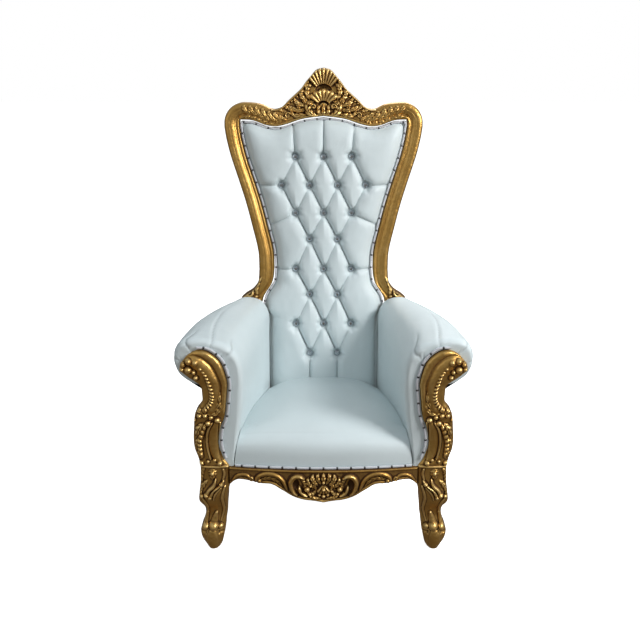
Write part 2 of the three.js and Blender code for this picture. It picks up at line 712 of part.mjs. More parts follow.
// The arm's inner face at depth y and height z, which the seat fits against
function armInner(y, z) {
  const v = clamp((y - ARM_FRONT) / (armRear(z) - ARM_FRONT), 0, 1);
  const share = armSwell(v);
  const front = through(armPoints.slice(0, 5).map((row) => [row[1], row[0]]))(z);
  const rear = through(armPoints.slice(0, 5).map((row) => [row[3], row[2]]))(z);
  return lerp(front, rear, share);
}

// Domed seat between the arms. Depths run from the bowed front edge to the back pad.

const seatFront = (x) => apronFace(x) + WELT_SIDE + 2;

function seatPad() {
  const crown = through([
    [0, 0],
    [0.02, 0.34],
    [0.06, 0.62],
    [0.13, 0.84],
    [0.25, 0.97],
    [0.45, 1],
    [0.75, 0.95],
    [1, 0.88],
  ]);
  const rearY = (height) => lean(seatBase + height) + 8 - PAD_CROWN - 2;
  const depths = [0, 0.02, 0.06, 0.13, 0.25, 0.42, 0.6, 0.8, 1];
  const across = [-1, -0.9, -0.7, -0.35, 0, 0.35, 0.7, 0.9, 1];
  const rings = [-1, ...depths].map((start) => {
    const v = Math.max(start, 0);
    const top = start < 0 ? 1 : (SEAT_HEIGHT - seatBase) * lerp(0.13, 1, crown(v));
    const side = top * lerp(1, 0.62, clamp(4 * v, 0, 1));
    const place = (t, height) => {
      const y = lerp(seatFront(t * SEAT_FRONT_HALF), rearY(height), v);
      const half = armInner(y, seatBase + height) - 1.5 - (v > 0 ? 0 : 3);
      return new THREE.Vector3(t * half, y, seatBase + height);
    };
    const dome = across.map((t) => place(t, lerp(top, side, Math.pow(Math.abs(t), 3))));
    return [...across.map((t) => place(t, 0)), ...dome.reverse()];
  });
  return loft(rings);
}

// Tufted back pad. Each row of buttons: share of the window's height, number of buttons.
const tuftRows = [
  [0.195, 2],
  [0.301, 3],
  [0.404, 2],
  [0.493, 3],
  [0.597, 2],
  [0.687, 3],
  [0.781, 4],
  [0.877, 3],
];
const rowHeight = (share) => lerp(RAIL_TOP, WINDOW_TOP, share);
const padHalf = (z) =>
  Math.min(SEAT_REAR_HALF - 2 + 2 * Math.max(0, z - ARM_HEIGHT + 12), frameInner(Math.min(z, jointHeight)) - EDGE_GAP);
const buttonPlaces = tuftRows.flatMap(([share, count]) =>
  Array.from({ length: count }, (_, i) => [(i - (count - 1) / 2) * TUFT_PITCH, rowHeight(share)]),
);

// Creases join each button to its neighbours in the next row and run on to the frame and the seat: [x, z, x, z]
const halfPitch = TUFT_PITCH / 2;
const creases = buttonPlaces.flatMap(([x, z], i) =>
  buttonPlaces
    .slice(i + 1)
    .filter(([ox, oz]) => Math.abs(Math.abs(ox - x) - halfPitch) < 1 && oz - z < 0.12 * (WINDOW_TOP - RAIL_TOP))
    .map(([ox, oz]) => [x, z, ox, oz]),
);
const lowRow = rowHeight(tuftRows[0][0]);
const highRow = rowHeight(tuftRows[7][0]);
const edgeCreases = [
  ...[-1, 1].map((k) => [k * halfPitch, lowRow, k * halfPitch, RAIL_TOP]),
  ...[-1, 0, 1].map((k) => [k * TUFT_PITCH, highRow, k * TUFT_PITCH * 1.1, WINDOW_TOP]),
  ...[-1, 1].flatMap((k) => [
    [k * 1.5 * TUFT_PITCH, rowHeight(tuftRows[6][0]), k * windowHalf, rowHeight(tuftRows[6][0])],
    [k * TUFT_PITCH, rowHeight(tuftRows[5][0]), k * 0.74 * windowHalf, rowHeight(tuftRows[5][0] - 0.056)],
    [k * TUFT_PITCH, rowHeight(tuftRows[3][0]), k * 0.68 * windowHalf, rowHeight(tuftRows[3][0])],
  ]),
];

// The distance from a point to a line between two points
function distanceTo([ax, az, bx, bz], x, z) {
  const share = clamp(((x - ax) * (bx - ax) + (z - az) * (bz - az)) / ((bx - ax) ** 2 + (bz - az) ** 2), 0, 1);
  return Math.hypot(x - lerp(ax, bx, share), z - lerp(az, bz, share));
}

// The pad swells from its edges and sinks along each crease, and more at each button
function padFace(x, z, inset) {
  const swell = PAD_CROWN * (1 - Math.exp(-Math.max(0, inset - 14) / 30));
  const nearest = Math.min(...creases.map((line) => distanceTo(line, x, z)));
  const nearestEdge = Math.min(...edgeCreases.map((line) => distanceTo(line, x, z)));
  const button = Math.min(...buttonPlaces.map(([bx, bz]) => Math.hypot(x - bx, z - bz)));
  const crease = Math.max(0, 1 - nearest / (0.22 * TUFT_PITCH), 0.7 - nearestEdge / (0.28 * TUFT_PITCH));
  const sink = TUFT_DEPTH * (0.5 * crease + 0.5 * Math.max(0, 1 - button / (0.42 * TUFT_PITCH)));
  return lean(z) + 8 - swell + Math.min(sink, swell);
}

function backPad() {
  const rows = tuftRows.map(([share]) => share);
  const between = rows.slice(1).flatMap((share, i) => [0.25, 0.5, 0.75].map((f) => lerp(rows[i], share, f)));
  const heights = [0, 0.05, 0.12, ...rows, ...between].sort((p, q) => p - q).map(rowHeight);
  const topRow = heights[heights.length - 1];
  const above = [0.3, 0.6, 0.94, 1];
  const fixed = spread(-6, 6, 13).map((k) => (k * TUFT_PITCH) / 4);
  const columnX = (half, j) => {
    const side = [(fixed[12] + half) / 2 - 1, half - 11, half];
    return [...side.map((x) => -x).reverse(), ...fixed, ...side][j];
  };
  const rings = [...heights.map((z) => [z, 0]), ...above.map((f) => [topRow, f])].map(([z, rise]) => {
    const half = padHalf(lerp(z, WINDOW_TOP, rise));
    const place = (x, depth) => {
      const height = lerp(z, windowEdge(x) - EDGE_GAP, rise) + (z === RAIL_TOP ? CLEARANCE : 0);
      const inset = Math.min(half - Math.abs(x), windowEdge(x) - height);
      return new THREE.Vector3(x, depth(x, height, inset), height);
    };
    const face = Array.from({ length: 19 }, (_, j) => place(columnX(half, j), padFace));
    const low = Math.min(face[0].z, WINDOW_TOP - WINDOW_DIP - EDGE_GAP);
    const behind = (x) => new THREE.Vector3(x, lean(low) + PAD_THICKNESS, low);
    return [...face, behind(half), behind(-half)];
  });
  return join(loft(rings), []);
}

// The plain panel that closes the back of the frame
function outsideBack() {
  const frame = postHigh.filter((z, i) => (i < 3 || i % 2 === 0) && z < jointHeight - 20);
  const heights = [seatBase, postLow[7], postEar[0], ...postEar.slice(3), ...frame];
  const arch = [0, 0.28, 0.45, 0.57, 0.7, 0.86, 1];
  const across = [...arch.slice(1).reverse().map((t) => -t), ...arch];
  const ring = (z, half, height) => {
    const share = (z - RAIL_TOP) / (WINDOW_TOP - RAIL_TOP);
    const crown = (t) => 8 * (1 - t ** 4) * (1 - (2 * share - 1) ** 6);
    const place = (t, depth) => new THREE.Vector3(t * half, lean(height(t)) + depth, height(t));
    const low = Math.min(z, WINDOW_TOP - WINDOW_DIP - EDGE_GAP);
    const front = (t) => new THREE.Vector3(t * half, lean(low) + PAD_THICKNESS + CLEARANCE, low);
    return [front(-1), front(1), ...across.map((t) => place(-t, FRAME_DEPTH - 4 + crown(t)))];
  };
  return loft([
    ...heights.map((z) => ring(z, frameInner(z) - EDGE_GAP, () => z)),
    ring(WINDOW_TOP, windowHalf - EDGE_GAP, (t) => windowEdge(t * windowHalf) - EDGE_GAP),
  ]);
}

// A welt is a strip along a path
function welt(points, steps) {
  const path = new THREE.CatmullRomCurve3(points, false, "centripetal");
  const half = WELT_SIDE / 2;
  const section = new THREE.Shape();
  section.moveTo(-half, -half).lineTo(half, -half).lineTo(half, half).lineTo(-half, half).closePath();
  return new THREE.ExtrudeGeometry(section, { steps, extrudePath: path, bevelEnabled: false });
}

const weltInset = WELT_SIDE / 2 + WELT_GAP;

function seatWelt() {
  const half = SEAT_FRONT_HALF - 5;
  const points = spread(-half, half, 9).map(
    (x) => new THREE.Vector3(x, apronFace(x) + WELT_SIDE / 2 + 1, seatBase + WELT_SIDE / 2),
  );
  return welt(points, 14);
}

function backWelt() {
  const side = [...postEar.slice(4), ...postHigh.slice(0, -1), jointHeight - 12].map((z) => [frameInner(z) - weltInset, z]);
  const corner = [windowHalf - weltInset - 2, WINDOW_TOP - weltInset - 4];
  const top = [0.86, 0.7, 0.56, 0.42, 0.25, 0.1].map((u) => [u * windowHalf, windowEdge(u * windowHalf) - weltInset]);
  const half = [...side, corner, ...top];
  const points = [...half, ...half.slice().reverse().map(([x, z]) => [-x, z])];
  return welt(points.map(([x, z]) => new THREE.Vector3(x, lean(z) - 0.5, z)), 48);
}

function armWelt() {
  const inner = postStations.slice(12, 26).map((row) => [POST_INNER + row[0] * POST_WIDTH, row[1] * POST_HEIGHT]);
  const points = inner.map(([x, z], i) => {
    const [ax, az] = inner[Math.max(i - 1, 0)];
    const [bx, bz] = inner[Math.min(i + 1, inner.length - 1)];
    const length = Math.hypot(bx - ax, bz - az);
    return new THREE.Vector3(x - ((bz - az) / length) * weltInset, ARM_FRONT - WELT_SIDE / 2 - CLEARANCE, z + ((bx - ax) / length) * weltInset);
  });
  return welt(points, 18);
}

// Tufting button: a low dome on a tapered back, its axis along -Y, its rim at the origin
function button() {
  const profile = [
    [0, -BUTTON_STEM],
    [BUTTON_RADIUS, 0],
    [0.75 * BUTTON_RADIUS, 0.45 * BUTTON_RADIUS],
    [0, 0.6 * BUTTON_RADIUS],
  ].map(([r, h]) => new THREE.Vector2(r, h));
  return new THREE.LatheGeometry(profile, 6).rotateX(Math.PI);
}

// Materials
const gold = new THREE.MeshStandardMaterial({ color: 0xb8862f, roughness: 0.35, metalness: 0.9 });
const leather = new THREE.MeshStandardMaterial({ color: 0xdfe5ea, roughness: 0.45, metalness: 0 });
const weltLeather = new THREE.MeshStandardMaterial({ color: 0xe6e4ee, roughness: 0.45, metalness: 0 });
const crystal = new THREE.MeshStandardMaterial({ color: 0x9aa3ab, roughness: 0.15, metalness: 0.6 });

const throne = new THREE.Group();

function add(name, geometry, material, mirrored = false) {
  const mesh = new THREE.Mesh(geometry, material);
  mesh.name = name;
  if (mirrored) mesh.scale.x = -1;
  throne.add(mesh);
  return mesh;
}

function addPair(name, geometry, material) {
  add(name + "_right", geometry, material);
  add(name + "_left", geometry, material, true);
}

add("crest_rail", crestRail(), gold);
addPair("back_post", backPost(), gold);
addPair("front_post", frontPost(0), gold);
add("front_apron", frontApron(), gold);
addPair("side_rail", sideRail(), gold);
add("back_rail", backRail(), gold);
addPair("arm", arm(), leather);
add("seat_pad", seatPad(), leather);
add("back_pad", backPad(), leather);
add("outside_back", outsideBack(), leather);
add("seat_welt", seatWelt(), weltLeather);
add("back_welt", backWelt(), weltLeather);
addPair("arm_welt", armWelt(), weltLeather);
buttonPlaces.forEach(([x, z], i) => {
  const face = padFace(x, z, Math.min(padHalf(z) - Math.abs(x), windowEdge(x) - z));
  add("button_" + (i + 1), button(), crystal).position.set(x, face - BUTTON_STEM - 0.6, z);
});

// The origin is on the floor, under the middle of the whole chair
const extent = new THREE.Box3().setFromObject(throne, true);
throne.position.y = -(extent.min.y + extent.max.y) / 2;

export default throne;
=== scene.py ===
# %% [markdown]
# # A gilded throne armchair
# The real chair is a carved hardwood frame under gold leaf, padded and covered in white leather. Its back is
# tufted in diamonds with a glass button at every point, its seat is a tight dome, and its arms are rolled.
# The solids of the chair are loaded first. They fix where every part goes, and each cell below replaces some
# of them by a surface that has the real part's carving, creases or nailed trim.

# %% Load the chair's solids
import math
import bpy
import numpy as np
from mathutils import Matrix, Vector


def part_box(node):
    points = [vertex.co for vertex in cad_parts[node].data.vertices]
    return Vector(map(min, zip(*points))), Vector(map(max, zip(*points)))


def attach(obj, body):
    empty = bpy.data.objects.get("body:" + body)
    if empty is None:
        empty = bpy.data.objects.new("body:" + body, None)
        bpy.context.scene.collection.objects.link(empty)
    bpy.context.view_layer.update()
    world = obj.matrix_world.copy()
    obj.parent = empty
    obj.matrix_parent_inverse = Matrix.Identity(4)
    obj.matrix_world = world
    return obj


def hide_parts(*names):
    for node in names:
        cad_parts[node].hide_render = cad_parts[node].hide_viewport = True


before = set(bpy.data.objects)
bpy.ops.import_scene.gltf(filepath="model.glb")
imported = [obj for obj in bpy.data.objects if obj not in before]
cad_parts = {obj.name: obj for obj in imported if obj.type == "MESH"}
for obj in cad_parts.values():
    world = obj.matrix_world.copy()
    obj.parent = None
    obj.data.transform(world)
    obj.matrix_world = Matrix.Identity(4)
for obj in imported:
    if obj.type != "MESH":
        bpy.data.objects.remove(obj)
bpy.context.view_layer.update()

# %% [markdown]
# The surfaces are worked out in millimetres, with y counted from the plane of the front posts, because that
# is how a maker would measure the chair. These sizes are the same as those of the solids. The arm's box gives
# the place of the front plane in the loaded frame.

# %% Sizes in millimetres
HEIGHT, CREST_RISE, CREST_DEPTH = 1600, 125, 188
SHOULDER_WIDTH, WAIST_WIDTH, WAIST_HEIGHT = 752, 500, 850
FRAME_FACE, FRAME_DEPTH, CORNER_RADIUS, WINDOW_DIP = 58, 45, 76, 25
SEAT_DEPTH, RAIL_TOP, RAIL_HEIGHT, RAIL_THICKNESS, RAIL_GAP = 531, 310, 60, 36, 1
APRON_BOW, APRON_DROP = 25, 120
POST_INNER, POST_WIDTH, POST_DEPTH, POST_HEIGHT = 317, 99, 75, 726
REAR_LEG_SPREAD, REAR_LEG_WIDTH, REAR_LEG_SPLAY = 322, 52, 172
SEAT_HEIGHT, SEAT_FRONT_HALF, SEAT_REAR_HALF = 452, 301, 213
ARM_HEIGHT, ARM_FRONT_REACH, ARM_REAR_REACH, ARM_FRONT = 757, 487, 348, 12
PAD_CROWN, PAD_THICKNESS, TUFT_PITCH = 36, 20, 107
BUTTON_RADIUS, WELT_SIDE, WELT_GAP, EDGE_GAP, CLEARANCE = 10, 8.5, 3.5, 5, 0.4
SHOULDER_HEIGHT = HEIGHT - CREST_RISE
WINDOW_TOP = HEIGHT - CREST_DEPTH
RAKE = math.tan(math.radians(8))
JOINT_HEIGHT = SHOULDER_HEIGHT - CORNER_RADIUS - 14
POST_OUTER = POST_INNER + POST_WIDTH
SEAT_BASE = RAIL_TOP + CLEARANCE
WINDOW_HALF = SHOULDER_WIDTH / 2 - FRAME_FACE
FRONT_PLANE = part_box("arm_right")[0].y - ARM_FRONT / 1000
print("front plane at y =", round(FRONT_PLANE, 4))

# %% [markdown]
# ## Curves and grids
# Nearly every outline here is a smooth curve through a few measured points, so one function turns such a list
# into a curve that works on whole arrays. A second one gives smooth random bumps for hand work. A grid of
# points becomes a mesh by joining each point to its neighbours.

# %% Curves and random bumps
def through(points):
    """A smooth curve through points [x, y]: cubic pieces, whose slope at a point is that of the line from the
    point before it to the point after it. Outside the list it keeps the end value."""
    xs, ys = np.array(points, float).T
    ahead = np.minimum(np.arange(len(xs)) + 1, len(xs) - 1)
    behind = np.maximum(np.arange(len(xs)) - 1, 0)
    slopes = (ys[ahead] - ys[behind]) / (xs[ahead] - xs[behind])

    def curve(x):
        i = np.clip(np.searchsorted(xs, x) - 1, 0, len(xs) - 2)
        width = xs[i + 1] - xs[i]
        t = np.clip((x - xs[i]) / width, 0, 1)
        rise = ys[i + 1] - ys[i]
        start = slopes[i] * width
        end = slopes[i + 1] * width
        return ys[i] + t * start + t**2 * (3 * rise - 2 * start - end) + t**3 * (start + end - 2 * rise)

    return curve


def mix(a, b, share):
    """The value that lies at the given share of the way from a to b."""
    return a + (b - a) * share


def ramp(x, start, end):
    """0 before start, 1 after end, and a smooth step between: 3 t^2 - 2 t^3."""
    t = np.clip((x - start) / (end - start), 0, 1)
    return t * t * (3 - 2 * t)


def bumps(x, y, size, seed=0):
    """Random bumps between -1 and 1: random numbers at the corners of squares of the given size, blended
    smoothly across each square."""
    cells = 97
    table = np.random.default_rng(seed).uniform(-1, 1, (cells, cells))
    u, v = np.asarray(x) / size, np.asarray(y) / size
    i, j = np.floor(u).astype(int), np.floor(v).astype(int)
    f, g = ramp(u - i, 0, 1), ramp(v - j, 0, 1)
    corner = lambda a, b: table[(i + a) % cells, (j + b) % cells]
    return mix(mix(corner(0, 0), corner(1, 0), f), mix(corner(0, 1), corner(1, 1), f), g)


def smooth_line(points, steps=10):
    """A smooth line through points of any dimension: cubic pieces between neighbours (Catmull-Rom)."""
    p = np.array(points, float)
    p = np.vstack([2 * p[0] - p[1], p, 2 * p[-1] - p[-2]])
    a, b, c, d = p[:-3, None], p[1:-2, None], p[2:-1, None], p[3:, None]
    t = np.linspace(0, 1, steps, endpoint=False)[None, :, None]
    line = b + t * (c - a) / 2 + t**2 * (2 * a - 5 * b + 4 * c - d) / 2 + t**3 * (3 * b - a - 3 * c + d) / 2
    return np.vstack([line.reshape(-1, p.shape[1]), p[-2]])


# %% Grids and pieces
def closed_grid(rows, columns):
    """The faces of a tube of rings, numbered ring by ring: four-sided ones along it, and a flat cap at each
    end."""
    i, j = np.meshgrid(np.arange(rows - 1), np.arange(columns), indexing="ij")
    k = (j + 1) % columns
    square = [i * columns + j, i * columns + k, (i + 1) * columns + k, (i + 1) * columns + j]
    first = list(range(columns))[::-1]
    last = [(rows - 1) * columns + k for k in range(columns)]
    return [*np.stack(square, -1).reshape(-1, 4).tolist(), first, last]


def outwards(points, faces):
    """The same faces, all turned round if their volume comes out negative: the sum over all triangles of
    a . (b x c), taken from a fan in each face."""
    corner = [np.array([face[k] for face in faces]) for k in range(3)]
    fans = [corner]
    quads = [face for face in faces if len(face) == 4]
    if quads:
        quads = np.array(quads)
        fans.append([quads[:, 0], quads[:, 2], quads[:, 3]])
    total = sum((points[a] * np.cross(points[b], points[c])).sum() for a, b, c in fans)
    return faces if total > 0 else [face[::-1] for face in faces]


def piece(name, points, faces, material, nodes=(), shades=None, sharp=60):
    """Makes a piece from points in millimetres and rides it on the chair. It stands for the named solids.
    shades is one number a point, which the material reads as the attribute relief."""
    places = np.array(points, float).reshape(-1, 3) / 1000
    places[:, 1] += FRONT_PLANE
    faces = [list(map(int, face)) for face in faces]
    mesh = bpy.data.meshes.new(name)
    mesh.from_pydata(places.tolist(), [], outwards(places - places.mean(0), faces))
    mesh.shade_smooth()
    mesh.set_sharp_from_angle(angle=math.radians(sharp))
    mesh.materials.append(material)
    if shades is not None:
        mesh.attributes.new("relief", "FLOAT", "POINT").data.foreach_set("value", np.ravel(shades))
    result = bpy.data.objects.new(name, mesh)
    bpy.context.collection.objects.link(result)
    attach(result, "root")
    if nodes:
        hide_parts(*nodes)
    print(name, len(places), "points", len(faces), "faces")
    return result


def run(name, rings, material, nodes, relief=None, sharp=60):
    """A piece through rings of points, each with as many, closed by a flat cap at each end."""
    rings = np.array(rings, float)
    return piece(name, rings, closed_grid(*rings.shape[:2]), material, nodes, relief, sharp)


def blurred(values, times):
    """Each number becomes the mean of itself and its neighbours in both directions, so many times."""
    for _ in range(times):
        values = np.pad(values, 1, mode="edge")
        values = (values[:-2] + values[1:-1] + values[2:]) / 3
        values = (values[:, :-2] + values[:, 1:-1] + values[:, 2:]) / 3
    return values


# %% [markdown]
# ## Shader maths
# A material here is written as Python expressions. One small class wraps a socket, so that a sum or product
# of two values adds the Math node that works it out.

# %% Shader maths
class Value:
    """A socket of a material's nodes. Arithmetic on it adds Math nodes to the same material."""

    def __init__(self, shader, socket):
        self.shader, self.socket = shader, socket

    def maths(self, operation, *values):
        return self.shader.node("ShaderNodeMath", {"operation": operation}, *values)

    def __add__(self, other):
        return self.maths("ADD", self, other)

    def __sub__(self, other):
        return self.maths("SUBTRACT", self, other)

    def __rsub__(self, other):
        return self.maths("SUBTRACT", other, self)

    def __mul__(self, other):
        return self.maths("MULTIPLY", self, other)

    def clamped(self, low=0.0, high=1.0):
        """The value kept between low and high."""
        return self.maths("MINIMUM", self.maths("MAXIMUM", self, low), high)

    __radd__, __rmul__ = __add__, __mul__


class Shader:
    """A material and its nodes."""

    def __init__(self, name):
        self.material = bpy.data.materials.new(name)
        self.material.use_nodes = True
        self.tree = self.material.node_tree
        self.surface = self.tree.nodes["Principled BSDF"]

    def node(self, kind, settings=None, *values, output=0, **named):
        """Adds a node, sets it up, links or sets its inputs in order or by name, and returns an output."""
        made = self.tree.nodes.new(kind)
        for key, setting in (settings or {}).items():
            setattr(made, key, setting)
        for key, value in [*enumerate(values), *((name.replace("_", " "), v) for name, v in named.items())]:
            self.feed(made.inputs[key], value)
        return Value(self, made.outputs[output])

    def feed(self, socket, value):
        """Links a value to a socket, or sets a plain number or colour on it."""
        if isinstance(value, Value):
            self.tree.links.new(value.socket, socket)
        else:
            socket.default_value = value

    def blend(self, share, first, second):
        """A colour between two others."""
        made = self.tree.nodes.new("ShaderNodeMix")
        made.data_type = "RGBA"
        for key, value in ((0, share), (6, first), (7, second)):
            self.feed(made.inputs[key], value)
        return Value(self, made.outputs[2])

    def place(self):
        """The point of the piece in metres."""
        return self.node("ShaderNodeTexCoord", {}, output="Object")

    def noise(self, where, scale, detail=3.0, roughness=0.55):
        """Cloudy noise around 0.5 with bumps of 1 / scale metres."""
        return self.node("ShaderNodeTexNoise", {}, Vector=where, Scale=scale, Detail=detail,
                         Roughness=roughness)

    def set(self, **values):
        """Links or sets inputs of the surface shader."""
        for name, value in values.items():
            self.feed(self.surface.inputs[name.replace("_", " ")], value)

    def bump(self, height, distance, strength=1.0):
        """Feeds a height, worth the given distance in metres, to the surface's normal."""
        self.feed(
            self.surface.inputs["Normal"],
            self.node("ShaderNodeBump", {}, Height=height, Distance=distance, Strength=strength),
        )


# %% [markdown]
# ## Gold leaf
# The frame is gilded and then toned with a brown glaze. The glaze stays in the hollows and is wiped off the
# high places, which is what makes the carving readable. The mesh carries how far each point stands above or
# below its surroundings. The material turns that into glaze in the hollows and, on the high places, a painted
# highlight that lifts the leaf towards a pale gold, all broken up by noise.

# %% Gold leaf material
def gold_leaf():
    """Gold with a dark glaze in the hollows, a painted highlight on the high places, and small unevenness."""
    gold = Shader("gilded_wood")
    where = gold.place()
    relief = gold.node("ShaderNodeAttribute", {"attribute_name": "relief"}, output="Fac")
    cloud = gold.noise(where, 14.0, 4.0)
    fine = gold.noise(where, 160.0, 3.0)
    level = relief + (cloud - 0.5) * 0.5 + (fine - 0.5) * 0.35
    glaze = (level * -1.3 - 0.1).clamped()
    # Painted highlight: the high places are lifted from the leaf towards a pale highlight colour
    painted_highlight = (level * 0.9).clamped()
    leaf = gold.blend((cloud - 0.35).clamped() * 1.6, (0.50, 0.28, 0.07, 1), (0.63, 0.39, 0.12, 1))
    lit = gold.blend(painted_highlight, leaf, (0.88, 0.62, 0.25, 1))
    gold.set(Base_Color=gold.blend(glaze, lit, (0.085, 0.034, 0.007, 1)))
    gold.set(Metallic=0.92 - glaze * 0.5)
    gold.set(Roughness=(0.41 + glaze * 0.3 + (fine - 0.5) * 0.1).clamped(0.2, 0.8))
    gold.bump(fine + cloud * 0.5, 0.0006, 0.6)
    return gold.material


GOLD = gold_leaf()

# %% [markdown]
# ## Leather, trim and glass
# The cover is white leather, cool in colour, with a soft sheen and a grain of about a millimetre. The grain
# is a Voronoi pattern on the piece's own coordinates, so it needs no map. The trim is the same leather, a
# little warmer. The buttons are cut glass with a silvered back, which from outside acts as a bright metal,
# almost a mirror with faint smears. The nails are a dark polished metal, dulled in places.

# %% Leather, trim, glass and nail materials
def leather(name, colour, shade):
    """White leather: pebbled grain, faint clouding of colour, painted shade along creases, and uneven gloss.
    """
    skin = Shader(name)
    where = skin.place()
    cells = skin.node("ShaderNodeTexVoronoi", {"feature": "DISTANCE_TO_EDGE"}, Vector=where, Scale=620.0)
    cloud = skin.noise(where, 9.0, 3.0)
    wear = skin.noise(where, 55.0, 4.0)
    relief = skin.node("ShaderNodeAttribute", {"attribute_name": "relief"}, output="Fac")
    base = skin.blend(cloud, colour, shade)
    # Painted shade: where the attribute relief is below zero, along creases and at nails, the colour is
    # darkened
    shaded = (*[part * 0.62 for part in shade[:3]], 1)
    crease_shaded = skin.blend((relief * -0.8).clamped(0.0, 0.6), base, shaded)
    skin.set(Base_Color=crease_shaded)
    skin.set(Roughness=0.34 + wear * 0.14)
    skin.set(Coat_Roughness=0.35, Coat_Weight=0.12)
    skin.bump((cells * 6.0).clamped() + wear * 1.2, 0.00035, 0.5)
    return skin.material


def mottled_metal(name, scale, dark, pale, metallic, roughness, swing):
    """A metal whose colour and roughness follow one fine noise."""
    metal = Shader(name)
    noise = metal.noise(metal.place(), scale, 2.0)
    metal.set(Base_Color=metal.blend(noise, (*dark, 1), (*pale, 1)))
    metal.set(Metallic=metallic, Roughness=roughness + noise * swing)
    return metal.material


LEATHER = leather("leather", (0.745, 0.825, 0.84, 1), (0.675, 0.76, 0.775, 1))
TRIM = leather("welt_leather", (0.70, 0.72, 0.75, 1), (0.60, 0.61, 0.65, 1))
GLASS = mottled_metal("crystal", 260.0, (0.30, 0.33, 0.36), (0.62, 0.66, 0.70), 0.92, 0.05, 0.1)
NAIL = mottled_metal("nail_metal", 300.0, (0.05, 0.05, 0.055), (0.20, 0.20, 0.21), 0.95, 0.2, 0.2)

# %% [markdown]
# ## Outlines of the frame
# The back of the frame leans 8 degrees. Its stiles swell from the waist to the shoulders, and the crest rail
# rises to a peak. The same curves drive the solids, so the carved surfaces land exactly on them.

# %% Outlines of the frame
def lean(z):
    """The depth of the leaning back's front face at height z."""
    return SEAT_DEPTH + (z - RAIL_TOP) * RAKE


frame_spread = through([[0, 0], [0.13, 0.025], [0.3, 0.19], [0.47, 0.375], [0.64, 0.6], [0.8, 0.82],
                        [0.92, 0.945], [1, 1]])
lower_outer = through([
    [0, REAR_LEG_SPREAD],
    [0.08 * WAIST_HEIGHT, REAR_LEG_SPREAD - 4],
    [0.2 * WAIST_HEIGHT, REAR_LEG_SPREAD - 18],
    [RAIL_TOP, REAR_LEG_SPREAD - 20],
    [0.6 * WAIST_HEIGHT, REAR_LEG_SPREAD - 18],
    [0.78 * WAIST_HEIGHT, REAR_LEG_SPREAD - 8],
    [0.86 * WAIST_HEIGHT, REAR_LEG_SPREAD + 2],
    [0.885 * WAIST_HEIGHT, mix(REAR_LEG_SPREAD, WAIST_WIDTH / 2, 0.25)],
    [0.905 * WAIST_HEIGHT, mix(REAR_LEG_SPREAD, WAIST_WIDTH / 2, 0.62)],
    [0.94 * WAIST_HEIGHT, WAIST_WIDTH / 2 + 6],
    [WAIST_HEIGHT, WAIST_WIDTH / 2],
])
LEG_INNER = REAR_LEG_SPREAD - REAR_LEG_WIDTH
lower_inner = through([
    [0, LEG_INNER],
    [0.2 * WAIST_HEIGHT, LEG_INNER - 12],
    [RAIL_TOP, LEG_INNER - 22],
    [0.76 * WAIST_HEIGHT, LEG_INNER - 22],
    [0.87 * WAIST_HEIGHT, LEG_INNER - 35],
    [0.94 * WAIST_HEIGHT, WAIST_WIDTH / 2 - FRAME_FACE + 8],
    [WAIST_HEIGHT, WAIST_WIDTH / 2 - FRAME_FACE],
])


def frame_outer(z):
    """The half width of the stiles' outer side at height z."""
    share = np.clip((z - WAIST_HEIGHT) / (JOINT_HEIGHT - WAIST_HEIGHT), 0, 1)
    above = mix(WAIST_WIDTH, SHOULDER_WIDTH, frame_spread(share)) / 2
    return np.where(z < WAIST_HEIGHT, lower_outer(z), above)


def frame_inner(z):
    """The half width of the stiles' inner side at height z."""
    return np.where(z < WAIST_HEIGHT, lower_inner(z), frame_outer(z) - FRAME_FACE)


SHOULDER_START = SHOULDER_WIDTH / 2 - CORNER_RADIUS
crest_slope = through([[0, 1], [0.09, 0.94], [0.157, 0.77], [0.226, 0.58], [0.278, 0.41], [0.355, 0.24],
                       [0.44, 0.06], [0.525, -0.13], [0.64, -0.19], [0.77, -0.06], [0.9, -0.01], [1, 0]])
window_bow = through([[0, 0.5], [0.25, 0.08], [0.45, -0.72], [0.57, -1], [0.68, -0.84], [0.85, -0.12],
                      [1, 0]])


def crest_top(x):
    """The height of the crest rail's top edge: the curve of the peak, then a quarter circle at the corner."""
    past = (np.abs(x) - SHOULDER_START) / CORNER_RADIUS
    corner = SHOULDER_HEIGHT - CORNER_RADIUS + CORNER_RADIUS * np.sqrt(np.clip(1 - past**2, 0, 1))
    slope = SHOULDER_HEIGHT + CREST_RISE * crest_slope(np.abs(x) / SHOULDER_START)
    return np.where(past <= 0, slope, corner)


def window_edge(x):
    """The height of the padded window's upper edge: an arch at the middle and a dip at each side."""
    return WINDOW_TOP + WINDOW_DIP * window_bow(np.abs(x) / WINDOW_HALF)


# %% [markdown]
# ## Carving
# A carver thinks in motifs: a strand, a leaf, a shell, a bead. Each one below is a height above the face that
# depends on how far a point lies from the motif's line or centre. Where motifs meet, the higher one shows,
# as it does in wood. The result is a height for every point of a fine grid, which a displaced mesh shows
# with real shadows, unlike a bump map.

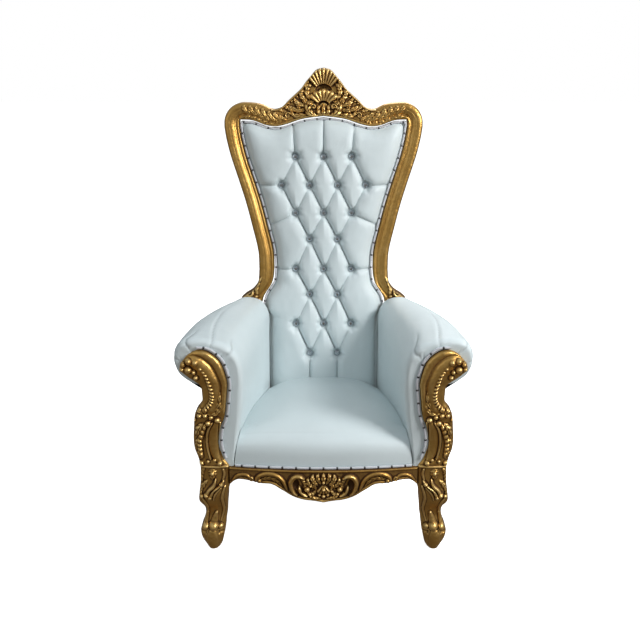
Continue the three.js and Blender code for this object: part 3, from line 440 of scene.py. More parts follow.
# %% Carved motifs
class Carving:
    """Relief over the points x, z of a face."""

    def __init__(self, x, z):
        self.x, self.z = x, z
        self.height = np.zeros(np.shape(x))

    def lay(self, where, height):
        """Puts a motif on the face: the higher of the old and the new height."""
        self.height[where] = np.maximum(self.height[where], height)

    def sink(self, where, depth):
        """Cuts the face down by a depth."""
        self.height[where] = self.height[where] - depth

    def beside(self, line, reach):
        """Points within reach of a smooth line: which they are, the share of the line where each lies, and
        its distance from the line, positive on the line's left."""
        path = smooth_line(line)
        low, high = path.min(0) - reach, path.max(0) + reach
        where = (self.x > low[0]) & (self.x < high[0]) & (self.z > low[1]) & (self.z < high[1])
        points = np.stack([self.x[where], self.z[where]], -1)
        start, step = path[:-1], np.diff(path, axis=0)
        gap = points[:, None] - start
        along = np.clip((gap * step).sum(-1) / (step**2).sum(-1), 0, 1)
        distance = np.linalg.norm(gap - along[..., None] * step, axis=-1)
        nearest = distance.argmin(1)
        row = np.arange(len(points))
        side = np.sign(step[nearest, 0] * gap[row, nearest, 1] - step[nearest, 1] * gap[row, nearest, 0])
        return where, (nearest + along[row, nearest]) / len(step), side * distance[row, nearest]

    def strand(self, line, width, height, rope=0):
        """A rounded strand: height times the root of 1 - q^2, with q the distance as a share of the half
        width. That width follows its own curve along the line. rope is the number of slanting turns cut
        in it."""
        wide = through([[i / (len(width) - 1), w] for i, w in enumerate(width)])
        where, share, off = self.beside(line, max(width))
        half = np.maximum(wide(share), 0.5)
        q = np.clip(np.abs(off) / half, 0, 1)
        full = height * np.minimum(1, half / max(width) + 0.35)
        turns = 1 - 0.4 * np.abs(np.cos(math.pi * rope * (share + 0.02 * off / half))) ** 3 if rope else 1
        self.lay(where, full * np.sqrt(1 - q**2) * turns)

    def leaf(self, line, width, height, lobes=4):
        """An acanthus leaf: a dome across its spine with a cut vein, whose edge is scalloped into lobes. The
        lobes slant towards the tip, and a crease runs from the spine to each notch."""
        body = through([[0, 0.3], [0.2, 0.8], [0.5, 1], [0.8, 0.72], [1, 0.15]])
        where, share, off = self.beside(line, width)
        q = np.abs(off) / (width * body(share))
        lobe = np.abs(np.sin(math.pi * (lobes * (share - 0.16 * q) + 0.5)))
        edge = 0.66 + 0.34 * lobe**0.6
        dome = np.sqrt(np.clip(1 - (q / edge) ** 2, 0, 1))
        vein = 1 - 0.4 * np.exp(-((q / 0.1) ** 2))
        crease = 1 - 0.35 * (1 - lobe) * np.clip(q * 2.5, 0, 1)
        lift = through([[0, 0.5], [0.3, 0.85], [0.75, 1], [1, 0.7]])(share)
        self.lay(where, height * lift * dome * vein * crease)

    def shell(self, centre, inner, outer, reach, ribs, height, down=False):
        """A ribbed shell about a centre, with an odd number of ribs: they run from the inner to the outer
        radius, and each is rounded across. The relief rises from the inner edge and rolls over at the outer
        one."""
        dx = self.x - centre[0]
        dz = (self.z - centre[1]) * (-1 if down else 1)
        radius, angle = np.hypot(dx, dz), np.arctan2(dx, dz)
        where = (radius > inner) & (radius < outer * 1.02) & (np.abs(angle) < reach)
        radius, angle = radius[where], angle[where]
        rib = np.abs(np.cos(math.pi * ribs * angle / (2 * reach)))
        out = (radius - inner) / (outer - inner)
        scallop = outer * (0.94 + 0.08 * rib**0.7)
        lift = through([[0, 0.55], [0.15, 0.75], [0.6, 1], [0.85, 0.95], [1, 0.6]])(out)
        self.lay(where, np.where(radius < scallop, height * lift * (0.58 + 0.42 * rib**0.8), 0))

    def bead(self, x, z, radius, height):
        """A half-sunk ball."""
        q = np.hypot(self.x - x, self.z - z) / radius
        where = q < 1
        self.lay(where, height * np.sqrt(1 - q[where] ** 2))

    def hollow(self, x, z, across, up, depth):
        """An oval hollow: depth times 1 - q^2, with q the distance as a share of the oval's radius."""
        q = np.hypot((self.x - x) / across, (self.z - z) / up)
        self.sink(q < 1, depth * (1 - q[q < 1] ** 2))

    def flower(self, x, z, radius, height):
        """Five petals about a small ball: a dome whose radius swings with the angle."""
        dx, dz = self.x - x, self.z - z
        distance = np.hypot(dx, dz)
        where = distance < radius
        petal = np.abs(np.cos(5 * np.arctan2(dx, dz)[where] / 2))
        q = distance[where] / radius
        ring = np.clip(1 - (q / (0.6 + 0.4 * petal**0.5)) ** 2, 0, 1) ** 0.5
        self.lay(where, height * ring * (0.45 + 0.55 * petal**0.7) * (0.6 + 0.4 * ramp(q, 0.15, 0.55)))
        self.bead(x, z, radius * 0.28, height * 1.05)

    def volute(self, x, z, radius, start, turns, width, height):
        """A spiral scroll with a ball at its eye. The radius shrinks evenly as the angle turns from start."""
        share = np.linspace(0, 1, 14)
        angle = start + 2 * math.pi * turns * share
        reach = radius * (1 - 0.78 * share)
        line = np.stack([x + reach * np.cos(angle), z + reach * np.sin(angle)], -1)
        self.strand(line, [width, width * 0.9, width * 0.6], height)
        self.bead(x, z, radius * 0.3, height * 1.15)


# %% [markdown]
# ## Boards
# The crest rail, the stiles, the front posts and the apron are all boards that were sawn to an outline and
# then carved on the face. A board runs along stations. At each station its ring crosses the face from the
# inner to the outer edge, where the edges are rounded over, and comes back behind.

# %% Boards
def rounding(distance, radius):
    """How far a face drops at a distance from its edge: a quarter circle of the given radius."""
    return radius - np.sqrt(radius**2 - np.clip(radius - distance, 0, radius) ** 2)


def board(name, stations, across, edges, face, back, carve, sides=("",), edge_radius=5.0, free=None,
          tone=0.0):
    """A carved board. edges gives the inner and outer edge points (x, z) of each station; face and back give
    depths, and carve lays motifs on the face. The lift above its blurred self is kept as the relief. A board
    with the sides _right and _left is made twice, the second time with x reversed. free gives the distance
    to the nearest free edge where an edge of the board is a joint. tone is added to all of the relief."""
    s, t = stations[:, None], across[None, :]
    inner, outer = (np.stack(edge, -1) for edge in edges(stations))
    face_xz = mix(inner[:, None], outer[:, None], t[..., None])
    x, z = face_xz[..., 0], face_xz[..., 1]
    width = np.linalg.norm(outer - inner, axis=-1)[:, None]
    carving = Carving(x, z)
    carve(carving, s + 0 * t, t + 0 * s)
    hand = 0.35 * bumps(x, z, 9, 3) + 0.2 * bumps(x, z, 4, 5)
    border = np.minimum(t, 1 - t) * width
    if free:
        border = free(x, z, border)
    lift = carving.height * ramp(border, 0, 3) + hand
    depth = face(s, t, x, z) - lift + rounding(border, edge_radius)
    rear_t = np.array([1, 1, 0.96, 0.75, 0.5, 0.25, 0.04, 0, 0])
    rear_drop = np.array([8, 3, 0, 0, 0, 0, 0, 3, 8.0])
    rear_xz = mix(inner[:, None], outer[:, None], rear_t[None, :, None])
    rear = back(s, rear_t[None, :], rear_xz[..., 0], rear_xz[..., 1]) - rear_drop
    points = np.concatenate([
        np.stack([x, depth, z], -1),
        np.stack([rear_xz[..., 0], rear, rear_xz[..., 1]], -1),
    ], 1)
    relief = np.zeros(points.shape[:2])
    relief[:, :len(across)] = (lift - blurred(lift, 8)) / 2.2 + tone
    for side in sides:
        turned = points * (-1 if side == "_left" else 1, 1, 1)
        run(name + side + "_carved", turned, GOLD, [name + side], relief)


def steps(low, high, size):
    gap = size * 1
    return np.linspace(low, high, 1 + int(math.ceil((high - low) / gap)))


# %% [markdown]
# ## Crest rail
# The crest carries a shell at its peak, a palmette below it, leaves and flowers down each slope, and a leafy
# rail that runs out to plain mouldings at the corners. The mouldings turn the corner in one sweep because
# their profile is read from the distance to the outer edge.

# %% Crest rail
moulding_share = through([[0, 0], [0.04, 0.07], [0.1, 0.09], [0.16, 0.07], [0.21, 0.03], [0.26, 0.04],
                          [0.34, 0.12], [0.44, 0.17], [0.54, 0.2], [0.58, 0.195], [0.62, 0.21],
                          [0.75, 0.225], [0.88, 0.19], [0.94, 0.13], [1, 0.02]])


def in_corner(x, z):
    """The distance from the outer edge near a corner: its radius less the distance from its centre."""
    beyond = np.maximum(np.abs(x) - SHOULDER_START, 0)
    return CORNER_RADIUS - np.hypot(beyond, np.maximum(z - SHOULDER_HEIGHT + CORNER_RADIUS, 0))


def crest_face(s, t, x, z):
    """Moulding at the sides, read from the distance to the outer edge, and level ground at the middle."""
    low = np.where(np.abs(x) < WINDOW_HALF, window_edge(x), JOINT_HEIGHT)
    share = np.clip((z - low) / (crest_top(x) - low), 0, 1)
    from_edge = np.where(np.abs(x) < SHOULDER_START, crest_top(x) - z, in_corner(x, z))
    around = 1 - np.clip(from_edge / FRAME_FACE, 0, 1)
    turn = ramp(np.abs(x), 230, SHOULDER_START)
    shape = FRAME_FACE * moulding_share(mix(share, around, turn))
    ground = FRAME_FACE * np.minimum(0.12, 1.4 * share)
    return lean(z) - mix(ground, shape, ramp(np.abs(x), 0.45 * WINDOW_HALF, 0.62 * WINDOW_HALF))


def crest_carve(c, s, t):
    """The carving of the crest, laid on one half and mirrored by taking x without its sign."""
    c.x = np.abs(c.x)
    top = lambda x, inset: [x, float(crest_top(x)) - inset]
    low = lambda x, lift: [x, float(window_edge(x)) + lift]
    c.strand([top(x, 5) for x in (34, 50, 66, 84, 104, 128, 150, 172, 196)], [4, 5, 5, 4.5, 3], 9)
    c.strand([low(x, 6) for x in (0, 40, 80, 120, 150, 180, 215)], [4, 4.5, 4.5, 4], 7)
    c.shell((0, 1504), 37, 95, 0.8, 9, 18)
    c.shell((0, 1458), 24, 65, 1.0, 7, 14)
    # Leaves about the middle
    c.leaf([[0, 1426], [0, 1440], [0, 1466]], 9, 12, 3)
    c.leaf([[5, 1426], [16, 1436], [20, 1452], [14, 1466]], 8, 11, 3)
    c.leaf([[24, 1424], [44, 1431], [58, 1449], [55, 1470], [38, 1478]], 15, 20, 4)
    c.volute(38, 1459, 11, -0.4, 1.1, 4.0, 16)
    # Leaves and flowers down the slope
    c.leaf([[52, 1486], [62, 1508], [58, 1530], [44, 1542]], 11, 14, 4)
    c.leaf([[66, 1520], [64, 1540], [52, 1560]], 8, 9, 3)
    c.leaf([[58, 1478], [78, 1492], [84, 1508], [74, 1520]], 10, 12, 4)
    c.leaf([[62, 1462], [84, 1466], [104, 1478], [108, 1492]], 10, 12, 4)
    c.leaf([[64, 1450], [92, 1446], [116, 1452], [134, 1464]], 10, 11, 4)
    c.leaf([[60, 1436], [82, 1428], [108, 1428], [128, 1440]], 10, 11, 4)
    c.flower(70, 1478, 11, 16)
    c.flower(94, 1462, 11, 15)
    c.flower(120, 1444, 9, 13)
    c.volute(134, 1428, 11, 2.4, -1.1, 3.4, 11)
    for share in np.linspace(0, 1, 9):
        x = mix(58, 140, share)
        c.bead(x, float(crest_top(x)) - 13 - 3 * math.sin(math.pi * share), 4.6 - 0.8 * share, 8)
    for k, (x, share) in enumerate(((128, 0.62), (146, 0.3), (150, 0.72), (168, 0.52))):
        z = mix(float(window_edge(x)), float(crest_top(x)), share)
        c.flower(x, z, 10 - k, 10 - k)
        c.leaf([[x - 4, z - 3], [x + 8, z + 2], [x + 17, z + 9], [x + 22, z + 16]], 8, 8, 3)
    # A chain of leaves along the rail
    rise = lambda x, share: [x, mix(float(window_edge(x)), float(crest_top(x)), share)]
    for k, x in enumerate(np.linspace(150, 268, 6)):
        c.leaf([rise(x, 0.3), rise(x + 16, 0.42), rise(x + 32, 0.68), rise(x + 30, 0.84)],
               9.5, 8 - 0.5 * k, 4)
        c.leaf([rise(x, 0.32), rise(x + 18, 0.24), rise(x + 34, 0.16)], 7, 6 - 0.3 * k, 3)
    # Hollows
    for x, z, radius in ((72, 1437, 6), (107, 1437, 5), (57, 1462, 5), (50, 1478, 5)):
        c.hollow(x, z, radius, radius, 7)
    for z, inner, outer, reach in ((1506, 20, 36, 1.15), (1458, 15, 24, 1.2)):
        radius = np.hypot(c.x, c.z - z)
        q = (radius - inner) / (outer - inner)
        arch = (q > 0) & (q < 1) & (np.abs(np.arctan2(c.x, c.z - z)) < reach)
        c.height[arch] = -9 * np.sin(math.pi * q[arch]) ** 0.5


over_window = steps(0, WINDOW_HALF - 0.6, 1.5)
over_stile = steps(WINDOW_HALF + 0.6, SHOULDER_WIDTH / 2 - 0.5, 1.5)
half_steps = np.concatenate([over_window, over_stile])
crest_columns = np.concatenate([-half_steps[:0:-1], half_steps])


def crest_edges(x):
    """The lower and upper edge of the crest rail."""
    return (x, np.where(np.abs(x) < WINDOW_HALF, window_edge(x), JOINT_HEIGHT)), (x, crest_top(x))


def crest_free(x, z, across):
    """At the corners the free edges are the round outside and the side of the window; the rest is a joint."""
    outer = np.where(z > JOINT_HEIGHT, in_corner(x, z), SHOULDER_WIDTH / 2 - np.abs(x))
    window = np.hypot(np.abs(x) - WINDOW_HALF, np.maximum(0, z - WINDOW_TOP))
    return np.where(np.abs(x) < WINDOW_HALF, across, np.minimum(outer, window))


board("crest_rail", crest_columns, np.linspace(0, 1, 110), crest_edges, crest_face,
      lambda s, t, x, z: lean(z) + FRAME_DEPTH, crest_carve, free=crest_free)

# %% [markdown]
# ## Stiles
# Each stile is one length of wood from the rear foot to the crest. Above the arm it is moulded with a broad
# outer roll, a groove and an inner bead. A small scroll marks the waist, and below the seat it is plain and
# sweeps back to the foot.

# %% Stiles
EAR_HEIGHT = 0.895 * WAIST_HEIGHT
LEG_TOP = RAIL_TOP + 20


def carved_share(z):
    """0 behind the arm and 1 above it, where the stile shows."""
    return np.clip((z - ARM_HEIGHT + 100) / 70, 0, 1)


def stile_plane(z):
    """The depth of the stile's ground: it leans with the back, and below the seat it splays to the rear."""
    return lean(z) + REAR_LEG_SPLAY * np.clip(1 - z / LEG_TOP, 0, 1) ** 1.5


def stile_face(s, t, x, z):
    """The ground less the moulding, which fades out behind the arm."""
    plain = FRAME_FACE * 0.2 * np.sin(math.pi * t) ** 0.7
    shape = mix(0.3 * plain, FRAME_FACE * moulding_share(t), carved_share(s))
    return stile_plane(s) - shape + 4 * ramp(LEG_TOP - s, -6, 10)


def stile_carve(c, s, t):
    """A scroll with leaves at the waist."""
    x, z = WAIST_WIDTH / 2, EAR_HEIGHT
    c.volute(x + 40, z + 2, 17, 1.9, 1.25, 5, 11)
    c.leaf([[x + 26, z - 34], [x + 40, z - 24], [x + 58, z - 12], [x + 66, z + 4]], 9, 9, 4)
    c.leaf([[x + 8, z - 4], [x + 12, z + 16], [x + 4, z + 40], [x - 10, z + 62]], 9, 8, 4)
    c.leaf([[x + 22, z + 14], [x + 20, z + 28], [x + 8, z + 46]], 7, 8, 3)
    c.bead(x + 12, z - 14, 6, 9)
    c.bead(x + 2, z - 26, 4.5, 7)


def stile_edges(z):
    """The inner and outer edge of the right stile."""
    return (frame_inner(z), z), (frame_outer(z), z)


def stile_back(s, t, x, z):
    """The depth of the stile's rear. The leg is a little deeper than the stile."""
    return stile_plane(s) + FRAME_DEPTH + 8 * ramp(LEG_TOP - s, -6, 10) + 0 * t


board("back_post", steps(0, JOINT_HEIGHT - CLEARANCE, 2.6), np.linspace(0, 1, 44),
      stile_edges, stile_face, stile_back, stile_carve, ("_right", "_left"), 6.0)

# %% [markdown]
# ## Front posts
# A front post is a leg, a block and the facing of the arm in one board, which curls over at the arm's top.
# Its outline is a table of stations, each with an inner and an outer point and two depths, as shares of the
# post's width, height and depth. Smooth curves run through the columns of the table.

# %% Outline of the front posts
post_table = np.array([
    [0.42, 0.0, 0.85, 0.0, 0.08, 0.75], [0.34, 0.025, 0.94, 0.022, -0.03, 0.83],
    [0.28, 0.058, 1.05, 0.058, -0.08, 0.88], [0.24, 0.094, 1.08, 0.094, -0.05, 0.91],
    [0.21, 0.127, 0.99, 0.129, 0.08, 0.88], [0.16, 0.168, 0.91, 0.171, 0.19, 0.83],
    [0.14, 0.207, 0.94, 0.207, 0.13, 0.85], [0.11, 0.251, 1.09, 0.245, -0.03, 0.93],
    [0.09, 0.289, 1.07, 0.287, -0.11, 1], [0.0, 0.335, 1.02, 0.337, -0.05, 1],
    [0.0, 0.393, 1.0, 0.393, 0, 1], [0.0, 0.432, 0.99, 0.432, 0, 1],
    [0.17, 0.468, 1.05, 0.471, 0.05, 0.77], [0.28, 0.521, 1.16, 0.517, 0.08, 0.67],
    [0.3, 0.565, 1.18, 0.565, 0.08, 0.67], [0.26, 0.614, 1.15, 0.614, 0.05, 0.67],
    [0.13, 0.661, 1.11, 0.669, 0, 0.67], [0.05, 0.705, 1.04, 0.705, 0, 0.67],
    [0.01, 0.751, 0.84, 0.744, 0.03, 0.67], [-0.03, 0.799, 0.82, 0.785, 0.03, 0.67],
    [-0.05, 0.84, 0.86, 0.824, 0.03, 0.67], [0.01, 0.884, 1.02, 0.846, 0, 0.67],
    [0.14, 0.937, 1.22, 0.865, 0, 0.67], [0.35, 0.972, 1.37, 0.882, 0, 0.67],
    [0.62, 0.995, 1.47, 0.895, 0, 0.67], [0.92, 0.997, 1.51, 0.909, 0, 0.67],
    [1.2, 0.977, 1.5, 0.923, 0.03, 0.67], [1.4, 0.946, 1.47, 0.937, 0.08, 0.67],
])
POST_LAST = len(post_table) - 1
post_curves = [through([[i, value] for i, value in enumerate(column)]) for column in post_table.T]


def post_edges(s):
    """The inner and outer edge of the right front post at station s."""
    in_x, in_z, out_x, out_z = (curve(s) for curve in post_curves[:4])
    inner = (POST_INNER + POST_WIDTH * in_x, POST_HEIGHT * in_z)
    return inner, (POST_INNER + POST_WIDTH * out_x, POST_HEIGHT * out_z)


# %% [markdown]
# The carving of a post follows its outline: a smooth rim, a groove and a broad roll sweep up round the curl
# and end in a cluster of knobs, and a rope lies against the roll. Below a knot come a long smooth blade with
# leaves beside it, the block with one bead, and strands that curl down to the outer side of the knee. The
# shank is plain, and the foot has balls over a rounded toe. Places are x and z in millimetres.

# %% Carving of the front posts
sweep = through([[0, 2], [0.05, 6.5], [0.12, 8.5], [0.19, 7], [0.235, 1.5], [0.275, 1.5], [0.33, 7],
                 [0.45, 12], [0.57, 9.5], [0.66, 4], [0.76, 2.5], [0.9, 3], [1, 0]])


def post_carve(c, s, t):
    """The motifs of a front post."""
    c.height = sweep(t) * ramp(s, 16.4, 17.4) * (1 - 0.75 * ramp(s, 23.9, 25.2))
    # The rope and the knobs of the curl
    c.strand([[398, 668], [380, 640], [369, 606], [362, 571], [368, 543], [389, 519]],
             [5, 8, 10, 11, 9], 17, rope=14)
    for x, z, radius in ((413, 685, 12), (434, 689, 12), (453, 679, 10), (437, 660, 13), (457, 661, 9),
                         (413, 633, 9), (397, 664, 8), (419, 652, 8)):
        c.bead(x, z, radius, 10 + 0.8 * radius)
    # The knot and its leaves
    c.leaf([[376, 516], [356, 524], [342, 546], [338, 580]], 11, 12, 4)
    c.leaf([[382, 506], [358, 506], [340, 522], [330, 544]], 9, 11, 4)
    c.leaf([[396, 506], [410, 520], [418, 544]], 10, 12, 3)
    for x, z, radius in ((389, 500, 9), (408, 499, 9), (369, 494, 8), (349, 483, 10), (380, 472, 10),
                         (425, 484, 7)):
        c.bead(x, z, radius, 6 + 0.9 * radius)
    # The blade and the leaves beside it
    c.strand([[352, 472], [364, 440], [367, 404], [363, 365], [352, 338]], [9, 15, 17, 15, 9], 9)
    c.strand([[366, 474], [381, 446], [387, 412], [385, 378], [377, 342]], [3, 4.5, 5, 4.5, 3], 12)
    c.strand([[340, 474], [343, 440], [345, 404], [341, 370], [334, 340]], [3, 4, 4, 4, 3], 8)
    c.leaf([[398, 470], [408, 458], [416, 442], [420, 424]], 12, 15, 3)
    c.strand([[390, 464], [402, 436], [411, 406], [411, 380], [406, 350]], [6, 9, 9.5, 9, 6], 13, rope=7)
    c.leaf([[410, 418], [419, 404], [422, 386]], 8, 10, 3)
    c.leaf([[408, 376], [415, 362], [416, 346]], 8, 9, 3)
    for x, z, radius in ((347, 327, 9), (363, 338, 7), (409, 327, 9), (386, 333, 6)):
        c.bead(x, z, radius, 5 + 0.9 * radius)
    # The ledge, the block and its bead
    band = np.abs(c.z - 313) / 5
    c.lay(band < 1, 6 * np.sqrt(1 - band[band < 1] ** 2))
    c.leaf([[373, 306], [373, 292], [374, 268]], 15, 8, 4)
    c.bead(373, 290, 9, 15)
    c.strand([[336, 304], [333, 286], [338, 266]], [4, 5.5, 4], 8)
    c.leaf([[400, 306], [411, 292], [414, 272], [410, 254]], 10, 10, 4)
    # The strands and the leaf of the knee
    c.strand([[336, 262], [343, 251], [353, 241], [366, 232], [377, 221]], [3.5, 5, 4, 4, 3], 12)
    c.strand([[363, 268], [366, 255], [373, 242], [386, 230], [396, 212]], [3, 5, 6.5, 6, 7], 13)
    c.strand([[372, 226], [379, 214], [385, 203]], [3, 6, 7], 11)
    c.strand([[346, 236], [360, 222], [370, 206], [372, 192]], [2.5, 4, 4, 2.5], 6)
    c.leaf([[392, 262], [406, 246], [417, 226], [414, 208]], 9, 10, 4)
    for x, z, radius, height in ((344, 249, 8, 15), (396, 212, 9, 18), (384, 203, 8, 15), (413, 206, 8, 14)):
        c.bead(x, z, radius, height)
    # The shank: a ridge along each side of a plain face
    c.strand([[333, 240], [341, 214], [344, 196], [342, 172], [341, 148], [346, 124], [352, 104]],
             [4, 5, 5, 4, 3], 7)
    c.strand([[410, 196], [401, 178], [395, 152], [400, 128], [410, 108]], [4, 5, 5, 4, 3], 7)
    # The balls and the toe
    c.strand([[366, 136], [371, 116], [377, 92]], [6, 11, 14], 13)
    c.strand([[396, 138], [403, 116], [408, 92]], [5, 9, 11], 12)
    for x, z, radius, height in ((376, 91, 17, 24), (407, 89, 14, 21), (352, 86, 9, 11)):
        c.bead(x, z, radius, height)
    groove = np.abs(c.z - 65) / 7
    c.sink(groove < 1, 6 * np.sqrt(1 - groove[groove < 1] ** 2))
    c.height = np.where(c.z < 60, c.height - 5 * ramp(np.abs(c.x - 381), 20, 30), c.height)
    c.strand([[381, 66], [382, 52], [382, 28], [382, 2]], [14, 19, 20, 18], 7)


def post_face(s, t, x, z):
    """The front depth at a station, from the table. The leg is rounded across, so its edges lie further
    back."""
    return POST_DEPTH * post_curves[4](s) + mix(14, 4, ramp(s, 9, 12)) * np.abs(2 * t - 1) ** 2.2


def post_back(s, t, x, z):
    """The rear depth at a station, from the table."""
    return POST_DEPTH * post_curves[5](s) + 0 * t


board("front_post", steps(0, POST_LAST, 0.055), np.linspace(0, 1, 84), post_edges, post_face,
      post_back, post_carve, ("_right", "_left"), 9.0)

# %% [markdown]
# ## Apron
# The apron is a bowed rail under the seat. A raised rim follows its shaped lower edge, scrolls run in from
# the posts, and a crown of leaves over a ribbed boss hangs at the middle.

# %% Apron
APRON_SPAN = POST_INNER - 2 * CLEARANCE
apron_depth = through([[0, 1], [0.1, 0.95], [0.2, 0.92], [0.32, 0.82], [0.45, 0.61], [0.55, 0.46],
                       [0.65, 0.45], [0.8, 0.375], [0.9, 0.36], [0.96, 0.43], [1, 0.55]])


def apron_plane(x):
    """The depth of the bowed face: a parabola."""
    return 6 - APRON_BOW * (1 - (x / APRON_SPAN) ** 2)


def apron_edge(x):
    """The height of the apron's lower edge."""
    return RAIL_TOP - APRON_DROP * apron_depth(np.abs(x) / APRON_SPAN)


def apron_carve(c, s, t):
    """Rim, scrolls and the cluster at the middle, mirrored by taking x without its sign."""
    c.x = np.abs(c.x)
    edge = lambda x, lift: [x, float(apron_edge(x)) + lift]
    c.strand([edge(x, 6) for x in np.linspace(0, 312, 16)], [5, 5.5, 5.5, 5], 7)
    c.strand([[x, RAIL_TOP - 5] for x in (0, 100, 200, 314)], [4, 4], 3)
    # Scrolls from the post to the middle
    c.strand([[306, 264], [292, 279], [274, 286], [256, 284], [244, 273]], [4, 6.5, 7, 6.5, 4], 9)
    c.leaf([[292, 270], [276, 272], [258, 272], [246, 280]], 7, 6, 4)
    c.volute(243, 272, 8, 1.2, 1.2, 3.4, 10)
    c.strand([[229, 264], [220, 281], [202, 291], [180, 294], [156, 288], [138, 273], [127, 252], [121, 236]],
             [4, 7, 8, 8, 7.5, 7, 6, 3], 11)
    c.leaf([[214, 268], [196, 276], [174, 278], [152, 266], [138, 248]], 8, 7, 6)
    c.bead(216, 267, 9, 13)
    c.strand([[66, 281], [77, 288], [91, 288], [103, 280], [110, 264], [108, 246], [100, 230], [90, 220]],
             [4, 7, 8.5, 9, 8.5, 7.5, 6.5, 4], 16)
    c.leaf([[74, 276], [66, 270], [60, 258], [66, 246]], 7, 11, 4)
    c.strand([[82, 250], [77, 234], [69, 224], [56, 217]], [3.5, 6, 7, 4], 14)
    c.leaf([[94, 222], [106, 232], [118, 236], [134, 244]], 6, 6, 4)
    # The cluster at the middle: a crown of leaves over a ribbed boss, with balls and leaves round it
    c.shell((0, 262), 8, 36, 0.75, 5, 13, down=True)
    c.leaf([[0, 262], [1, 276], [0, 290], [0, 301]], 8, 14, 3)
    c.leaf([[9, 262], [17, 274], [20, 288], [17, 299]], 8, 13, 3)
    c.leaf([[20, 258], [31, 269], [37, 283], [35, 295]], 9, 14, 4)
    c.leaf([[28, 249], [43, 256], [52, 269], [51, 284]], 9, 13, 4)
    c.leaf([[24, 240], [30, 252], [28, 262], [20, 266]], 6, 12, 3)
    c.leaf([[26, 236], [34, 226], [45, 224], [54, 230]], 8, 12, 3)
    c.leaf([[10, 205], [24, 208], [38, 213], [50, 221]], 7, 10, 4)
    for x, z, radius, height in ((0, 243, 8, 19), (0, 217, 7, 15), (14, 221, 5, 12), (55, 243, 10, 19),
                                 (0, 268, 6, 16)):
        c.bead(x, z, radius, height)
    for x, z, across, up in ((90, 257, 11, 19), (42, 242, 4, 4), (70, 236, 4, 7)):
        c.hollow(x, z, across, up, 9)


def apron_edges(x):
    """The lower and upper edge of the apron."""
    return (x, apron_edge(x)), (x, RAIL_TOP + 0 * x)


# tone -0.5 darkens the whole apron, hollows and high places alike
board("front_apron", steps(-APRON_SPAN, APRON_SPAN, 1.5), np.linspace(0, 1, 76), apron_edges,
      lambda s, t, x, z: apron_plane(x), lambda s, t, x, z: apron_plane(x) + RAIL_THICKNESS, apron_carve,
      tone=-0.5)

# %% [markdown]
# ## Plain rails
# The side and rear rails are plain gilded lengths that end against the posts. Each runs through rings of the
# same section, with a rounded lower outer edge.

# %% Plain rails
def rail_section(width, height, radius, small=4):
    """Points round a rail from its outer top edge down: (outward, down) pairs with rounded lower corners."""
    turn = np.linspace(0, math.pi / 2, 9)
    outer = np.stack([-radius + radius * np.cos(turn), height - radius + radius * np.sin(turn)], -1)
    inner = np.stack([-width + small * (1 - np.sin(turn)), height - small * (1 - np.cos(turn))], -1)
    return np.vstack([[[-3, 0], [0, 3], [0, 14], [-3, 17], [-3, 21]], outer - [[3, 0]], inner, [[-width, 0]]])


RAIL_RINGS, RAIL_WEAR = 40, 0.3
outward, down = rail_section(RAIL_THICKNESS, RAIL_HEIGHT, 16).T
rail_z = RAIL_TOP - down
front_x, front_y = POST_OUTER - 18, POST_DEPTH + CLEARANCE
rear_x, rear_y = float(frame_outer(RAIL_TOP)) - 4, stile_plane(rail_z) - RAIL_GAP
for side, sign in (("_right", 1), ("_left", -1)):
    rings = []
    for share in np.linspace(0, 1, RAIL_RINGS):
        wear = RAIL_WEAR * bumps(share * 450 + 0 * down, down, 20, 4)
        x = mix(front_x, rear_x, share) + outward + wear
        rings.append(np.stack([sign * x, mix(front_y, rear_y, share), rail_z], -1))
    run("side_rail_plain" + side, rings, GOLD, ["side_rail" + side], sharp=40)

rings = []
for share in np.linspace(-1, 1, RAIL_RINGS):
    x = share * (frame_inner(rail_z) - RAIL_GAP)
    depth = lean(RAIL_TOP) + 8 + RAIL_THICKNESS + outward + RAIL_WEAR * bumps(x, down, 20, 8)
    rings.append(np.stack([x, depth, rail_z], -1))
run("back_rail_plain", rings, GOLD, ["back_rail"], sharp=40)

# %% [markdown]
# ## Rolled arms
# An arm is a padded box under a roll. Its section is a smooth line from the inner foot over the roll to the
# outer foot, and it narrows to the rear. Every point is then pushed in or out along the surface's own
# normal, for the fullness of the padding and for the short pleats that are gathered round the front facing.

# %% Rolled arms
def pushed(points, distance):
    """A grid of rings moved outwards along its normals, which are the cross products of the two directions
    of the grid."""
    across = (np.roll(points, -1, 1) - np.roll(points, 1, 1)) / 2
    normal = np.cross(across, np.gradient(points, axis=0))
    normal /= np.maximum(np.linalg.norm(normal, axis=-1, keepdims=True), 1e-9)
    return points + normal * distance[..., None]


